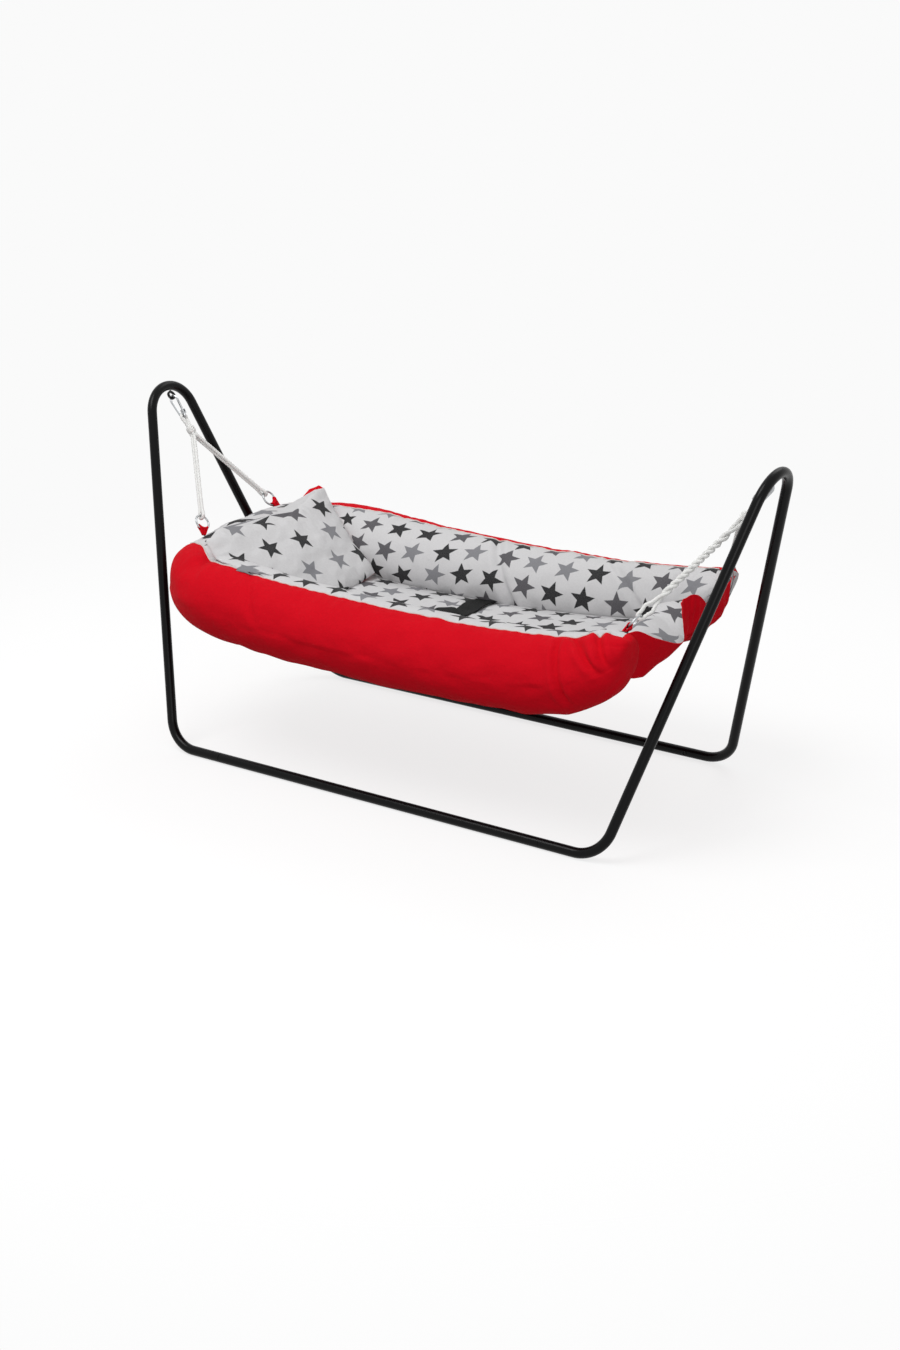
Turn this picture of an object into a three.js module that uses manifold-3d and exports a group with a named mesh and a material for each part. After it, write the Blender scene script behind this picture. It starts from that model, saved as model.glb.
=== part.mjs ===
import * as THREE from 'three';
import { mergeVertices } from 'three/addons/utils/BufferGeometryUtils.js';
import Module from 'manifold-3d';

const wasm = await Module();
wasm.setup();

// Hanging baby cradle, in millimetres. +X runs from the head end to the foot end, +Z is up, and the
// origin is on the floor below the middle of the stand.

// Clearance between pieces that touch, and between soft pieces
const fitGap = 0.3;
const softGap = 1.9;

// Stand: bent round tube
const tubeDiameter = 19;
const tubeWall = 1.5;
const tubeSides = 16;
const railSpacing = 505; // between the axes of the two floor rails
const footprintLength = 966; // between the corners where the legs' lines meet the rails' lines
const legMeetingReach = 713; // from the middle to where the lines of one end's two legs meet
const legMeetingHeight = 809;
const archBendRadius = 62.5;
const floorBendRadius = 68;
const hoopFootLength = 120; // from the corner to the hoop's open end
const swageLength = 55; // drawn-in rail end inside the hoop
const swageWall = 1.5;
const archBendSteps = 12;
const floorBendSteps = 7;

// Joint screws
const screwDiameter = 5;
const screwHeadDiameter = 9.5;
const screwHeadHeight = 2.8;
const screwLength = 12;
const screwInset = 28; // from the hoop's open end

// Lugs welded inside the arches
const lugThickness = 4;
const lugOuterRadius = 9.5;
const lugHoleRadius = 5.5;
const lugNeckWidth = 8;
const lugDrop = 12; // from the tube's surface to the hole's centre

// Snap hooks
const hookWireDiameter = 4.5;
const hookTopBendRadius = 9;
const hookBottomBendRadius = 6;
const hookBendSpacing = 33.5; // between the centres of the two bends
const hookSeat = 0.8; // between the wire and the edge of the lug's hole
const forkLength = 9;
const forkWidth = 6.4;
const forkCheekThickness = 1.3;
const hingeShare = 0.6; // how far up the fork the rivet is
const wireEndShare = 0.2; // how far up the fork the hook's wire and, from the rivet down, the gate reach
const slotMiddleShare = 0.78;
const noseLength = 5;
const rivetDiameter = 1.8;

// Ropes
const ropeDiameter = 5.5;
const ropeSides = 8;
const ropeEyeLength = 22; // from the hook's lower bend to the whipping
const eyeClearance = 0.6; // between the rope eye and the hook's wire
const whippingLength = 14;
const whippingDiameter = 15.5;
const strandSpacing = 6.2; // between strands where they leave the whipping
const ropeStepsPerSpan = 3;
const strandPlaces = [0.3, 0.6, 0.84]; // shares of the way from the whipping to the ring
const strandBow = 0.6; // outward bow of each strand between the whipping and its ring
const slackStrandBow = 8.5; // of the slacker front rope at the foot end, close to its ring

// Nest's place in the stand, and the rings' places over the nest
const nestDrop = 510; // from where the legs' lines meet down to the lowest of the bolster's middle line
const headInset = 111.28; // from the legs' plane in to the head section's middle line
const footInset = 47.28; // from the legs' plane in to the tips of the arms
const headRingSpread = 105; // from the middle to each head ring's centre
const headRingInset = 49; // from the head section's middle line
const headRingRise = 129; // above the lowest of the bolster's middle line
const footRingSpread = 180;
const footRingInset = 17; // from the tips of the arms
const footRingRise = 125;
const lowestCentreHeight = legMeetingHeight - nestDrop;
const legLean = (legMeetingReach - footprintLength / 2) / (legMeetingHeight - tubeDiameter / 2);
const legReach = footprintLength / 2 + legLean * (lowestCentreHeight - tubeDiameter / 2); // beside the nest
const headReach = legReach - headInset; // from the middle to the head section's middle line
const armFootReach = legReach - footInset; // from the middle to the tips of the arms

// Rings and their cloth tabs
const ringWireDiameter = 4;
const ringRadius = 15; // to the middle of the wire
const tabThickness = 1.6;
const tabWidth = 9;
const tabWireClearance = 1.5;

// Side bolster: a stuffed tube bent to a U
const armSpacing = 436; // between the arms' middle lines
const bolsterCornerRadius = 130;
const footDomeLength = 62;
const footDomePower = 2.6; // 2 is round, and more is blunter
const footDomeLift = 0.6; // share of the lost height by which an arm's end keeps its top up
const headStuffingRadius = 89;
const footStuffingRadius = 66;
const fullestReach = -200; // where the arms start to thin towards the foot
const lowestCentreReach = -80; // where the cradle hangs lowest
const headRise = 29;
const headRisePower = 2;
const footLineInset = 69; // from the arms' tips to where the foot end's rise and stuffing are measured
const footLineReach = armFootReach - footLineInset;
const footRise = 37;
const footRisePower = 2.5;
const thinningPower = 1.4;
const bolsterSides = 20;
const armSteps = 14;
const domeSteps = 5;
const tipShare = 0.35; // how far into the dome's first step the arm's flat tip is
const cornerSteps = 7;
const gatherCount = 7; // creases round each gathered arm end
const gatherDepth = 4.5;
const gatherLength = 130;

// Mattress and the cloth below it
const baseLevelShare = 0.7; // the base's depth below the arms' middle, in arm radii
const baseThickness = 5;
const baseHeadClearance = 1;
const baseFootOverhang = 7.2; // of the cloth past the mattress's foot end, up to the foot collar
const baseCornerShare = 0.55; // of the bolster's corner radius
const baseSteps = 18;
const mattressFootInset = 41; // from the arms' tips
const mattressFootReach = armFootReach - mattressFootInset;
const mattressEdgeDrop = 14; // from the arms' middle line down to the mattress's edge
const mattressCrown = 14;
const mattressCornerRadius = 42;
const mattressEndRound = 12; // rounding of the foot end's edges
const mattressHeadPlaces = [0.4, 4, 12, 24, 42]; // sections from the head end round its corners
const mattressBeltPlaces = [-65, -42, -26, -12, 0, 12, 26, 44, 70]; // sections round the belt's dent
const mattressHeadSteps = 5;
const mattressFootSteps = 7;
const beltDent = 9;
const beltDentWidth = 46;
const beltDentFade = 0.6; // how much of the dent is lost from the middle to the mattress's edges

// Belt halves, each as its middle line seen from above, from its sewn edge to its free end
const beltWidth = 42;
const beltThickness = 2.4;
const beltReach = 20; // where the belt crosses the mattress
const beltSteps = 9;
const rearBeltRoute = [[6], [10, 90], [20, 40], [24, 3]];
const frontBeltRoute = [[44], [38, -80], [22, -30], [-10, 14]];
const beltRest = 0.5; // between a belt half and the highest places of the mattress below it
const beltLift = 3.3; // rise of the front half where it lies over the rear half
const beltLiftFrom = 75; // where the front half starts to climb
const beltLiftTo = 45;

// Pillow
const pillowHeight = 222;
const pillowTopHalfWidth = 156;
const pillowBottomHalfWidth = 112;
const pillowThickness = 46;
const pillowEdgeThickness = 5;
const pillowSlope = 42; // degrees from level
const pillowTurn = 3; // degrees, with its front end lower
const pillowInset = 111.6; // from the head section's middle line to the pillow's middle
const pillowOffset = -12; // towards the front
const pillowRise = 77.4; // above the lowest of the bolster's middle line
const pillowCentre = [pillowInset - headReach, pillowOffset, lowestCentreHeight + pillowRise];
const pillowTopDip = 0.16; // of its height, lost in the middle of its width
const pillowSideDip = 0.06;
const pillowWidening = [0.15, 0.85]; // shares of its height between which it widens
const pillowColumns = 12;
const pillowRows = 10;

// Foot collar: the cloth wall that closes the foot end, as its rim and its base. Each point has its place
// past the arms' tips, its place across the cradle and its height above the bolster's lowest middle line.
const collarThickness = 5;
const collarRim = [
  [0, -184, 108], [14, -135, 89], [24, -80, 62], [-5, -44, 73], [-37, -8, 90], [-24, 26, 105],
  [-4, 58, 99], [5, 90, 71], [-16, 118, 77], [-11, 148, 93], [7, 170, 98], [3, 184, 108],
];
const collarBase = [
  [-19, -158, 7], [-20, -128, 2], [-21, -80, -2], [-25, -40, -3], [-31, -8, -3], [-27, 26, -3],
  [-22, 58, -2], [-21, 86, -1], [-24, 112, 1], [-24, 132, 4], [-21, 146, 6], [-19, 158, 7],
];
const collarSteps = 36;

const tubeRadius = tubeDiameter / 2;
const degrees = Math.PI / 180;
const vector = (x, y, z) => new THREE.Vector3(x, y, z);
const ends = [{ name: 'head', side: -1 }, { name: 'foot', side: 1 }];
const sides = [{ name: 'front', side: -1 }, { name: 'rear', side: 1 }];

const looks = {
  blackTube: { color: 0x141414, roughness: 0.35, metalness: 0.2 },
  zinc: { color: 0xc9ccce, roughness: 0.3, metalness: 1 },
  rope: { color: 0xf0f0ec, roughness: 0.9, metalness: 0 },
  redCotton: { color: 0xc90a1e, roughness: 0.9, metalness: 0 },
  starCotton: { color: 0xd4d4d4, roughness: 0.9, metalness: 0 },
  blackWebbing: { color: 0x121212, roughness: 0.85, metalness: 0 },
};

const cradle = new THREE.Group();

function addPiece(name, geometry, look) {
  const mesh = new THREE.Mesh(geometry, new THREE.MeshStandardMaterial(looks[look]));
  mesh.name = name;
  cradle.add(mesh);
  return mesh;
}

// Closed geometry with shared corners and only positions, as booleans need it
function weld(geometry) {
  const bare = geometry.clone();
  bare.deleteAttribute('normal');
  bare.deleteAttribute('uv');
  return mergeVertices(bare, 1e-4);
}

function toSolid(geometry) {
  const welded = weld(geometry);
  return new wasm.Manifold(new wasm.Mesh({
    numProp: 3,
    vertProperties: new Float32Array(welded.attributes.position.array),
    triVerts: new Uint32Array(welded.index.array),
  }));
}

function fromSolid(solid) {
  const mesh = solid.getMesh();
  const geometry = new THREE.BufferGeometry();
  geometry.setAttribute('position', new THREE.BufferAttribute(new Float32Array(mesh.vertProperties), 3));
  geometry.setIndex(new THREE.BufferAttribute(new Uint32Array(mesh.triVerts), 1));
  return geometry;
}

// Cylinder between two points
function rod(from, to, radius, segments) {
  const along = to.clone().sub(from);
  const geometry = new THREE.CylinderGeometry(radius, radius, along.length(), segments);
  geometry.applyQuaternion(new THREE.Quaternion().setFromUnitVectors(vector(0, 1, 0), along.clone().normalize()));
  const middle = from.clone().add(to).multiplyScalar(0.5);
  return geometry.translate(middle.x, middle.y, middle.z);
}

// Regular polygon with flats at the given radius, one of them square to the first axis
function polygonPoints(flatRadius, count) {
  const radius = flatRadius / Math.cos(Math.PI / count);
  return Array.from({ length: count }, (_, k) => {
    const angle = ((k + 0.5) * 2 * Math.PI) / count;
    return new THREE.Vector2(radius * Math.cos(angle), radius * Math.sin(angle));
  });
}

// Path whose steps fall on chosen stations, so that straight runs take one step and bends take many.
// The section's first axis stays as near as it can to one fixed direction, so the tube has no twist.
class StationPath extends THREE.Curve {
  constructor(stations, reference) {
    super();
    this.stations = stations;
    this.reference = reference;
  }

  between(t, key) {
    const place = t * (this.stations.length - 1);
    const first = Math.min(Math.floor(place + 1e-9), this.stations.length - 2);
    return this.stations[first][key].clone().lerp(this.stations[first + 1][key], place - first);
  }

  getPoint(t, target = new THREE.Vector3()) {
    return target.copy(this.between(t, 'point'));
  }

  getPointAt(t, target) {
    return this.getPoint(t, target);
  }

  computeFrenetFrames(segments) {
    const frames = { tangents: [], normals: [], binormals: [] };
    for (let k = 0; k <= segments; k++) {
      const tangent = this.between(k / segments, 'tangent').normalize();
      const normal = this.reference.clone().addScaledVector(tangent, -this.reference.dot(tangent)).normalize();
      frames.tangents.push(tangent);
      frames.normals.push(normal);
      frames.binormals.push(tangent.clone().cross(normal));
    }
    return frames;
  }
}

// Stations along straight lines joined by round bends
function bentStations(corners, bends) {
  const first = corners[1].clone().sub(corners[0]).normalize();
  const stations = [{ point: corners[0], tangent: first }];
  bends.forEach(({ radius, steps }, k) => {
    const corner = corners[k + 1];
    const back = corners[k].clone().sub(corner).normalize();
    const ahead = corners[k + 2].clone().sub(corner).normalize();
    const halfAngle = back.angleTo(ahead) / 2;
    const centre = corner.clone().addScaledVector(back.clone().add(ahead).normalize(), radius / Math.sin(halfAngle));
    const start = corner.clone().addScaledVector(back, radius / Math.tan(halfAngle));
    const spoke = start.clone().sub(centre);
    const axis = spoke.clone().cross(back).negate().normalize();
    for (let step = 0; step <= steps; step++) {
      const turn = new THREE.Quaternion().setFromAxisAngle(axis, ((Math.PI - 2 * halfAngle) * step) / steps);
      stations.push({
        point: spoke.clone().applyQuaternion(turn).add(centre),
        tangent: back.clone().negate().applyQuaternion(turn),
      });
    }
  });
  const last = corners.length - 1;
  stations.push({ point: corners[last], tangent: corners[last].clone().sub(corners[last - 1]).normalize() });
  return stations;
}

function sweep(sectionPoints, stations, reference, holePoints) {
  const shape = new THREE.Shape(sectionPoints);
  if (holePoints) shape.holes.push(new THREE.Path(holePoints));
  const path = new StationPath(stations, reference);
  return new THREE.ExtrudeGeometry(shape, { steps: stations.length - 1, extrudePath: path });
}

// Rope through chosen points, with the same number of steps between each two of them
function cord(points, diameter, reference) {
  const curve = new THREE.CatmullRomCurve3(points, false, 'centripetal');
  const steps = (points.length - 1) * ropeStepsPerSpan;
  const stations = Array.from({ length: steps + 1 }, (_, k) => ({
    point: curve.getPoint(k / steps),
    tangent: curve.getTangent(k / steps),
  }));
  return sweep(polygonPoints((diameter / 2) * Math.cos(Math.PI / ropeSides), ropeSides), stations, reference);
}

// Closed skin through rings of points, ended by flat fans round each end ring's middle
function loft(rings) {
  const count = rings[0].length;
  const points = rings.flat();
  const index = [];
  for (let i = 0; i < rings.length - 1; i++) {
    for (let j = 0; j < count; j++) {
      const a = i * count + j;
      const b = i * count + ((j + 1) % count);
      index.push(a, b, b + count, a, b + count, a + count);
    }
  }
  [[0, true], [rings.length - 1, false]].forEach(([i, atStart]) => {
    const middle = points.length;
    points.push(rings[i].reduce((sum, p) => sum.add(p), vector(0, 0, 0)).divideScalar(count));
    for (let j = 0; j < count; j++) {
      const a = i * count + j;
      const b = i * count + ((j + 1) % count);
      index.push(...(atStart ? [middle, b, a] : [middle, a, b]));
    }
  });
  const geometry = new THREE.BufferGeometry().setFromPoints(points);
  geometry.setIndex(index);
  return geometry;
}

// Stand

const crownShare = (() => {
  const slope = Math.hypot(legMeetingReach - footprintLength / 2, legMeetingHeight - tubeRadius);
  const halfAngle = Math.atan2(railSpacing / 2, slope);
  return (archBendRadius / Math.sin(halfAngle) - archBendRadius) / slope;
})();

// Each end's leaning hoop: where its legs' lines meet, the crown of its arch and its plane's normal
function hoopFrame(side) {
  const top = vector(side * legMeetingReach, 0, legMeetingHeight);
  const bottom = vector((side * footprintLength) / 2, 0, tubeRadius);
  const down = bottom.clone().sub(top).normalize();
  return { top, crown: top.clone().lerp(bottom, crownShare), normal: vector(side * down.z, 0, -side * down.x) };
}

const hoopEndReach = footprintLength / 2 - hoopFootLength;

function makeHoop({ name, side }) {
  const floorCorner = (x, rail) => vector(side * x, (rail * railSpacing) / 2, tubeRadius);
  const corners = [
    floorCorner(hoopEndReach, -1), floorCorner(footprintLength / 2, -1), hoopFrame(side).top,
    floorCorner(footprintLength / 2, 1), floorCorner(hoopEndReach, 1),
  ];
  const floorBend = { radius: floorBendRadius, steps: floorBendSteps };
  const stations = bentStations(corners, [floorBend, { radius: archBendRadius, steps: archBendSteps }, floorBend]);
  const outer = polygonPoints(tubeRadius, tubeSides);
  const bore = polygonPoints(tubeRadius - tubeWall, tubeSides);
  const tube = toSolid(sweep(outer, stations, hoopFrame(side).normal, bore));
  const drilled = sides.reduce((solid, rail) => solid.subtract(toSolid(screwHole(side, rail.side))), tube);
  addPiece(`${name}_hoop`, fromSolid(drilled), 'blackTube');
}

// Screws run across the rails, with their heads on the side that faces the other rail
function screwPoint(side, rail, inward) {
  const x = side * (hoopEndReach + screwInset);
  return vector(x, rail * (railSpacing / 2 - inward), tubeRadius);
}

function screwHole(side, rail) {
  const from = screwPoint(side, rail, tubeRadius + screwHeadHeight);
  return rod(from, screwPoint(side, rail, tubeRadius - screwLength), screwDiameter / 2 + fitGap, 12);
}

function makeJointScrew(end, rail) {
  const underHead = tubeRadius + fitGap;
  const profile = [
    [0, 0], [screwDiameter / 2, 0], [screwDiameter / 2, screwLength], [screwHeadDiameter / 2, screwLength],
    [screwHeadDiameter / 2, screwLength + screwHeadHeight * 0.5], [screwHeadDiameter / 4, screwLength + screwHeadHeight],
    [0, screwLength + screwHeadHeight],
  ].map(([radius, height]) => new THREE.Vector2(radius, height));
  const mesh = addPiece(`${rail.name}_${end.name}_joint_screw`, new THREE.LatheGeometry(profile, 12), 'blackTube');
  mesh.position.copy(screwPoint(end.side, rail.side, underHead - screwLength));
  mesh.rotation.x = rail.side > 0 ? Math.PI : 0;
}

function makeFloorRail({ name, side }) {
  const bodyHalf = hoopEndReach - fitGap;
  const tipHalf = hoopEndReach + swageLength;
  const swageRadius = tubeRadius - tubeWall - fitGap;
  const flatToCorner = 1 / Math.cos(Math.PI / tubeSides);
  const profile = [
    [swageRadius - swageWall, -tipHalf], [swageRadius, -tipHalf], [swageRadius, -bodyHalf],
    [tubeRadius, -bodyHalf], [tubeRadius, bodyHalf], [swageRadius, bodyHalf], [swageRadius, tipHalf],
    [swageRadius - swageWall, tipHalf], [swageRadius - swageWall, -tipHalf],
  ].map(([radius, along]) => new THREE.Vector2(radius * flatToCorner, along));
  const lathe = new THREE.LatheGeometry(profile, tubeSides, Math.PI / tubeSides);
  lathe.rotateZ(-Math.PI / 2).translate(0, (side * railSpacing) / 2, tubeRadius);
  const drilled = ends.reduce((solid, end) => solid.subtract(toSolid(screwHole(end.side, side))), toSolid(lathe));
  addPiece(`${name}_floor_rail`, fromSolid(drilled), 'blackTube');
}

// Suspension: everything from the arch's crown to the rings hangs on one straight line in the middle plane

const ringPlace = {
  head: { reach: headReach + headRingInset, spread: headRingSpread, height: lowestCentreHeight + headRingRise },
  foot: { reach: armFootReach - footRingInset, spread: footRingSpread, height: lowestCentreHeight + footRingRise },
};

// Local axes of one end's hanging line: down it, across it, and places counted from the hook's seat in the lug
function hangingLine({ name, side }) {
  const { crown } = hoopFrame(side);
  const down = vector(side * ringPlace[name].reach, 0, ringPlace[name].height).sub(crown).normalize();
  const hole = crown.clone().addScaledVector(down, tubeRadius + lugDrop);
  const start = hole.clone().addScaledVector(down, lugHoleRadius - hookWireDiameter / 2 - hookSeat);
  const across = vector(side * down.z, 0, -side * down.x);
  const at = (along, offset, y = 0) => start.clone().addScaledVector(down, along)
    .addScaledVector(across, offset).add(vector(0, y, 0));
  return { hole, down, across, at };
}

// The lug is welded inside the arch's bend and points along the pull
function makeLug(end) {
  const neckHalf = lugNeckWidth / 2;
  const bendSag = neckHalf ** 2 / (2 * (archBendRadius - tubeRadius));
  const top = lugDrop - 2 * fitGap - bendSag;
  const neckAngle = Math.acos(neckHalf / lugOuterRadius);
  const shape = new THREE.Shape();
  shape.moveTo(-neckHalf, top);
  shape.absarc(0, 0, lugOuterRadius, Math.PI - neckAngle, 2 * Math.PI + neckAngle, false);
  shape.lineTo(neckHalf, top);
  shape.closePath();
  shape.holes.push(new THREE.Path().absarc(0, 0, lugHoleRadius, 0, 2 * Math.PI, true));
  const plate = new THREE.ExtrudeGeometry(shape, { depth: lugThickness, bevelEnabled: false, curveSegments: 10 });
  plate.translate(0, 0, -lugThickness / 2);
  const { hole, down, across } = hangingLine(end);
  const up = down.clone().negate();
  const mesh = addPiece(`${end.name}_lug`, plate, 'blackTube');
  mesh.quaternion.setFromRotationMatrix(new THREE.Matrix4().makeBasis(up.clone().cross(across), up, across));
  mesh.position.copy(hole);
}

const lean = Math.asin((hookTopBendRadius - hookBottomBendRadius) / hookBendSpacing);
const topBend = hookTopBendRadius;
const bottomBend = hookTopBendRadius + hookBendSpacing;
const hookTip = bottomBend + hookBottomBendRadius;

// Points of the hook's round bends; angle 0 faces down the line and 90 faces the gate
function hookPoint(line, centre, radius, angle) {
  return line.at(centre + radius * Math.cos(angle), radius * Math.sin(angle));
}

// Where the gate's side leaves the lower bend and reaches the upper one
function gateEnds(line) {
  const angle = Math.PI / 2 - lean;
  const low = hookPoint(line, bottomBend, hookBottomBendRadius, angle);
  const high = hookPoint(line, topBend, hookTopBendRadius, angle);
  const up = high.clone().sub(low).normalize();
  return {
    up,
    hinge: low.clone().addScaledVector(up, forkLength * hingeShare),
    nose: high.clone().addScaledVector(up, -noseLength),
    low,
  };
}

function arc(line, centre, radius, from, to, steps) {
  return Array.from({ length: steps + 1 }, (_, k) => {
    const angle = from + ((to - from) * k) / steps;
    const turn = to > from ? 1 : -1;
    const tangent = line.down.clone().multiplyScalar(-Math.sin(angle) * turn)
      .addScaledVector(line.across, Math.cos(angle) * turn);
    return { point: hookPoint(line, centre, radius, angle), tangent };
  });
}

function makeSnapHook(end) {
  const line = hangingLine(end);
  const { up, nose, hinge, low } = gateEnds(line);
  const gateAngle = Math.PI / 2 - lean;
  const stations = [
    { point: low.clone().addScaledVector(up, forkLength * wireEndShare), tangent: up.clone().negate() },
    ...arc(line, bottomBend, hookBottomBendRadius, gateAngle, -gateAngle, 7),
    ...arc(line, topBend, hookTopBendRadius, -gateAngle, gateAngle - 2 * Math.PI, 10),
    { point: nose, tangent: up.clone().negate() },
  ];
  const wire = toSolid(sweep(polygonPoints(hookWireDiameter / 2, 8), stations, vector(0, 1, 0)));
  const slotWidth = hookWireDiameter + 2 * fitGap;
  const block = alongGate(up, forkLength, forkWidth, slotWidth + 2 * forkCheekThickness, low, forkLength / 2);
  const slot = alongGate(up, forkLength, forkWidth * 2, slotWidth, low, forkLength * slotMiddleShare);
  const hole = acrossGate(hinge, slotWidth + 4 * forkCheekThickness, rivetDiameter / 2 + fitGap);
  const body = wire.add(toSolid(block)).subtract(toSolid(slot)).subtract(toSolid(hole));
  addPiece(`${end.name}_snap_hook`, fromSolid(body), 'zinc');

  const tail = hinge.clone().addScaledVector(up, -forkLength * wireEndShare);
  const tip = nose.clone().addScaledVector(up, -fitGap);
  const gate = toSolid(rod(tail, tip, hookWireDiameter / 2, 10)).subtract(toSolid(hole));
  addPiece(`${end.name}_snap_gate`, fromSolid(gate), 'zinc');
  const rivet = acrossGate(hinge, slotWidth + 2 * forkCheekThickness, rivetDiameter / 2);
  addPiece(`${end.name}_gate_rivet`, rivet, 'zinc');
}

// Block whose long side lies along the gate, its middle the given way up from the lower end
function alongGate(up, length, width, depth, low, rise) {
  const geometry = new THREE.BoxGeometry(length, depth, width);
  const out = up.clone().cross(vector(0, 1, 0));
  geometry.applyMatrix4(new THREE.Matrix4().makeBasis(up, vector(0, 1, 0), out));
  const middle = low.clone().addScaledVector(up, rise);
  return geometry.translate(middle.x, middle.y, middle.z);
}

function acrossGate(point, length, radius) {
  const half = vector(0, length / 2, 0);
  return rod(point.clone().sub(half), point.clone().add(half), radius, 10);
}

const whippingStart = hookTip + ropeEyeLength;
const hubDistance = whippingStart + whippingLength;

function makeRopeEye(end) {
  const line = hangingLine(end);
  const bight = hookWireDiameter / 2 + ropeDiameter / 2 + eyeClearance;
  const bightSteps = 6;
  const turn = Array.from({ length: bightSteps + 1 }, (_, k) => {
    const angle = Math.PI / 2 - (Math.PI * k) / bightSteps;
    return line.at(hookTip - bight * Math.cos(angle), 0, bight * Math.sin(angle));
  });
  const bottom = whippingStart - fitGap;
  const points = [
    line.at(bottom, 0, strandSpacing / 2), line.at(bottom - ropeDiameter, 0, strandSpacing / 2),
    ...turn,
    line.at(bottom - ropeDiameter, 0, -strandSpacing / 2), line.at(bottom, 0, -strandSpacing / 2),
  ];
  addPiece(`${end.name}_rope_eye`, cord(points, ropeDiameter, line.across), 'rope');
}

function makeWhipping(end) {
  const line = hangingLine(end);
  addPiece(
    `${end.name}_rope_whipping`,
    rod(line.at(whippingStart, 0), line.at(hubDistance, 0), whippingDiameter / 2, 16),
    'rope',
  );
}

// Frame of one ring: it hangs in line with its rope, and the rope's two strands pass through it
function ringFrame(end, rail) {
  const line = hangingLine(end);
  const { reach, spread, height } = ringPlace[end.name];
  const centre = vector(end.side * reach, rail.side * spread, height);
  const pull = centre.clone().sub(line.at(hubDistance, 0)).normalize();
  const normal = line.across.clone().addScaledVector(pull, -line.across.dot(pull)).normalize();
  return { line, centre, pull, normal, wireAxis: pull.clone().cross(normal) };
}

function makeRope(end, rail) {
  const { line, centre, pull, normal, wireAxis } = ringFrame(end, rail);
  const bight = ringWireDiameter / 2 + ropeDiameter / 2 + fitGap;
  const top = centre.clone().addScaledVector(pull, -ringRadius);
  const slack = end.name === 'foot' && rail.name === 'front' ? slackStrandBow : strandBow;
  const strand = (share) => {
    const sideways = (share * strandSpacing) / 2;
    const leave = line.at(hubDistance + fitGap, sideways, (rail.side * strandSpacing) / 2);
    const straight = leave.clone().addScaledVector(line.down, ropeDiameter);
    const nearRing = top.clone().addScaledVector(normal, share * bight);
    const bows = [strandBow, strandBow, slack];
    const between = strandPlaces.map((place, k) => (
      straight.clone().lerp(nearRing, place).addScaledVector(normal, share * bows[k])));
    return [leave, straight, ...between, nearRing];
  };
  const turn = [1, 2, 3, 4].map((k) => {
    const angle = (Math.PI * k) / 5;
    return top.clone().addScaledVector(normal, bight * Math.cos(angle)).addScaledVector(pull, bight * Math.sin(angle));
  });
  const points = [...strand(1), ...turn, ...strand(-1).reverse()];
  addPiece(`${end.name}_${rail.name}_rope`, cord(points, ropeDiameter, wireAxis), 'rope');
}

function makeRing(end, rail) {
  const { centre, pull, normal, wireAxis } = ringFrame(end, rail);
  const ring = addPiece(
    `${end.name}_${rail.name}_ring`,
    new THREE.TorusGeometry(ringRadius, ringWireDiameter / 2, 8, 20),
    'zinc',
  );
  ring.quaternion.setFromRotationMatrix(new THREE.Matrix4().makeBasis(pull, wireAxis.clone().negate(), normal.clone()));
  ring.position.copy(centre);
}

// Tab: a folded strip round the ring's wire, its two ends sewn to the bolster
function makeTab(end, rail, bolster) {
  const { centre, pull, normal, wireAxis } = ringFrame(end, rail);
  const foot = centre.clone().addScaledVector(pull, ringRadius);
  const section = [-1, 0, 1].flatMap((a) => [-1, 0, 1].map((b) => foot.clone()
    .addScaledVector(normal, a * tabThickness).addScaledVector(wireAxis, (b * tabWidth) / 2)));
  const length = Math.min(...section.map((point) => distanceTo(bolster, point, pull))) - fitGap;
  const inner = ringWireDiameter / 2 + tabWireClearance;
  const outer = inner + tabThickness;
  const shape = new THREE.Shape();
  shape.moveTo(-outer, 0);
  shape.absarc(0, 0, outer, Math.PI, 0, true);
  shape.lineTo(tabThickness, -length);
  shape.lineTo(fitGap / 2, -length);
  shape.lineTo(inner, 0);
  shape.absarc(0, 0, inner, 0, Math.PI, false);
  shape.lineTo(-fitGap / 2, -length);
  shape.lineTo(-tabThickness, -length);
  shape.closePath();
  const strip = new THREE.ExtrudeGeometry(shape, { depth: tabWidth, bevelEnabled: false, curveSegments: 6 });
  strip.translate(0, 0, -tabWidth / 2);
  const mesh = addPiece(`${end.name}_${rail.name}_tab`, strip, 'redCotton');
  const up = pull.clone().negate();
  mesh.quaternion.setFromRotationMatrix(new THREE.Matrix4().makeBasis(normal, up, normal.clone().cross(up)));
  mesh.position.copy(foot);
}

// Soft pieces

// Height of the bolster's middle line, which sags between the two ends
function centreHeight(x) {
  const fromLow = x - lowestCentreReach;
  if (fromLow > 0) {
    return lowestCentreHeight + footRise * (fromLow / (footLineReach - lowestCentreReach)) ** footRisePower;
  }
  const share = Math.min(1, -fromLow / (headReach + lowestCentreReach));
  return lowestCentreHeight + headRise * share ** headRisePower;
}

// Radius of the stuffing, fullest towards the head
function stuffingRadius(x) {
  const share = Math.max(0, (x - fullestReach) / (footLineReach - fullestReach));
  return headStuffingRadius - (headStuffingRadius - footStuffingRadius) * share ** thinningPower;
}

const armHalf = armSpacing / 2;
const straightFrom = -headReach + bolsterCornerRadius;
const domeFrom = armFootReach - footDomeLength;

// How far a point can move before it meets a piece's skin
function distanceTo(piece, from, direction) {
  return new THREE.Raycaster(from, direction).intersectObject(piece)[0].distance;
}

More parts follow.
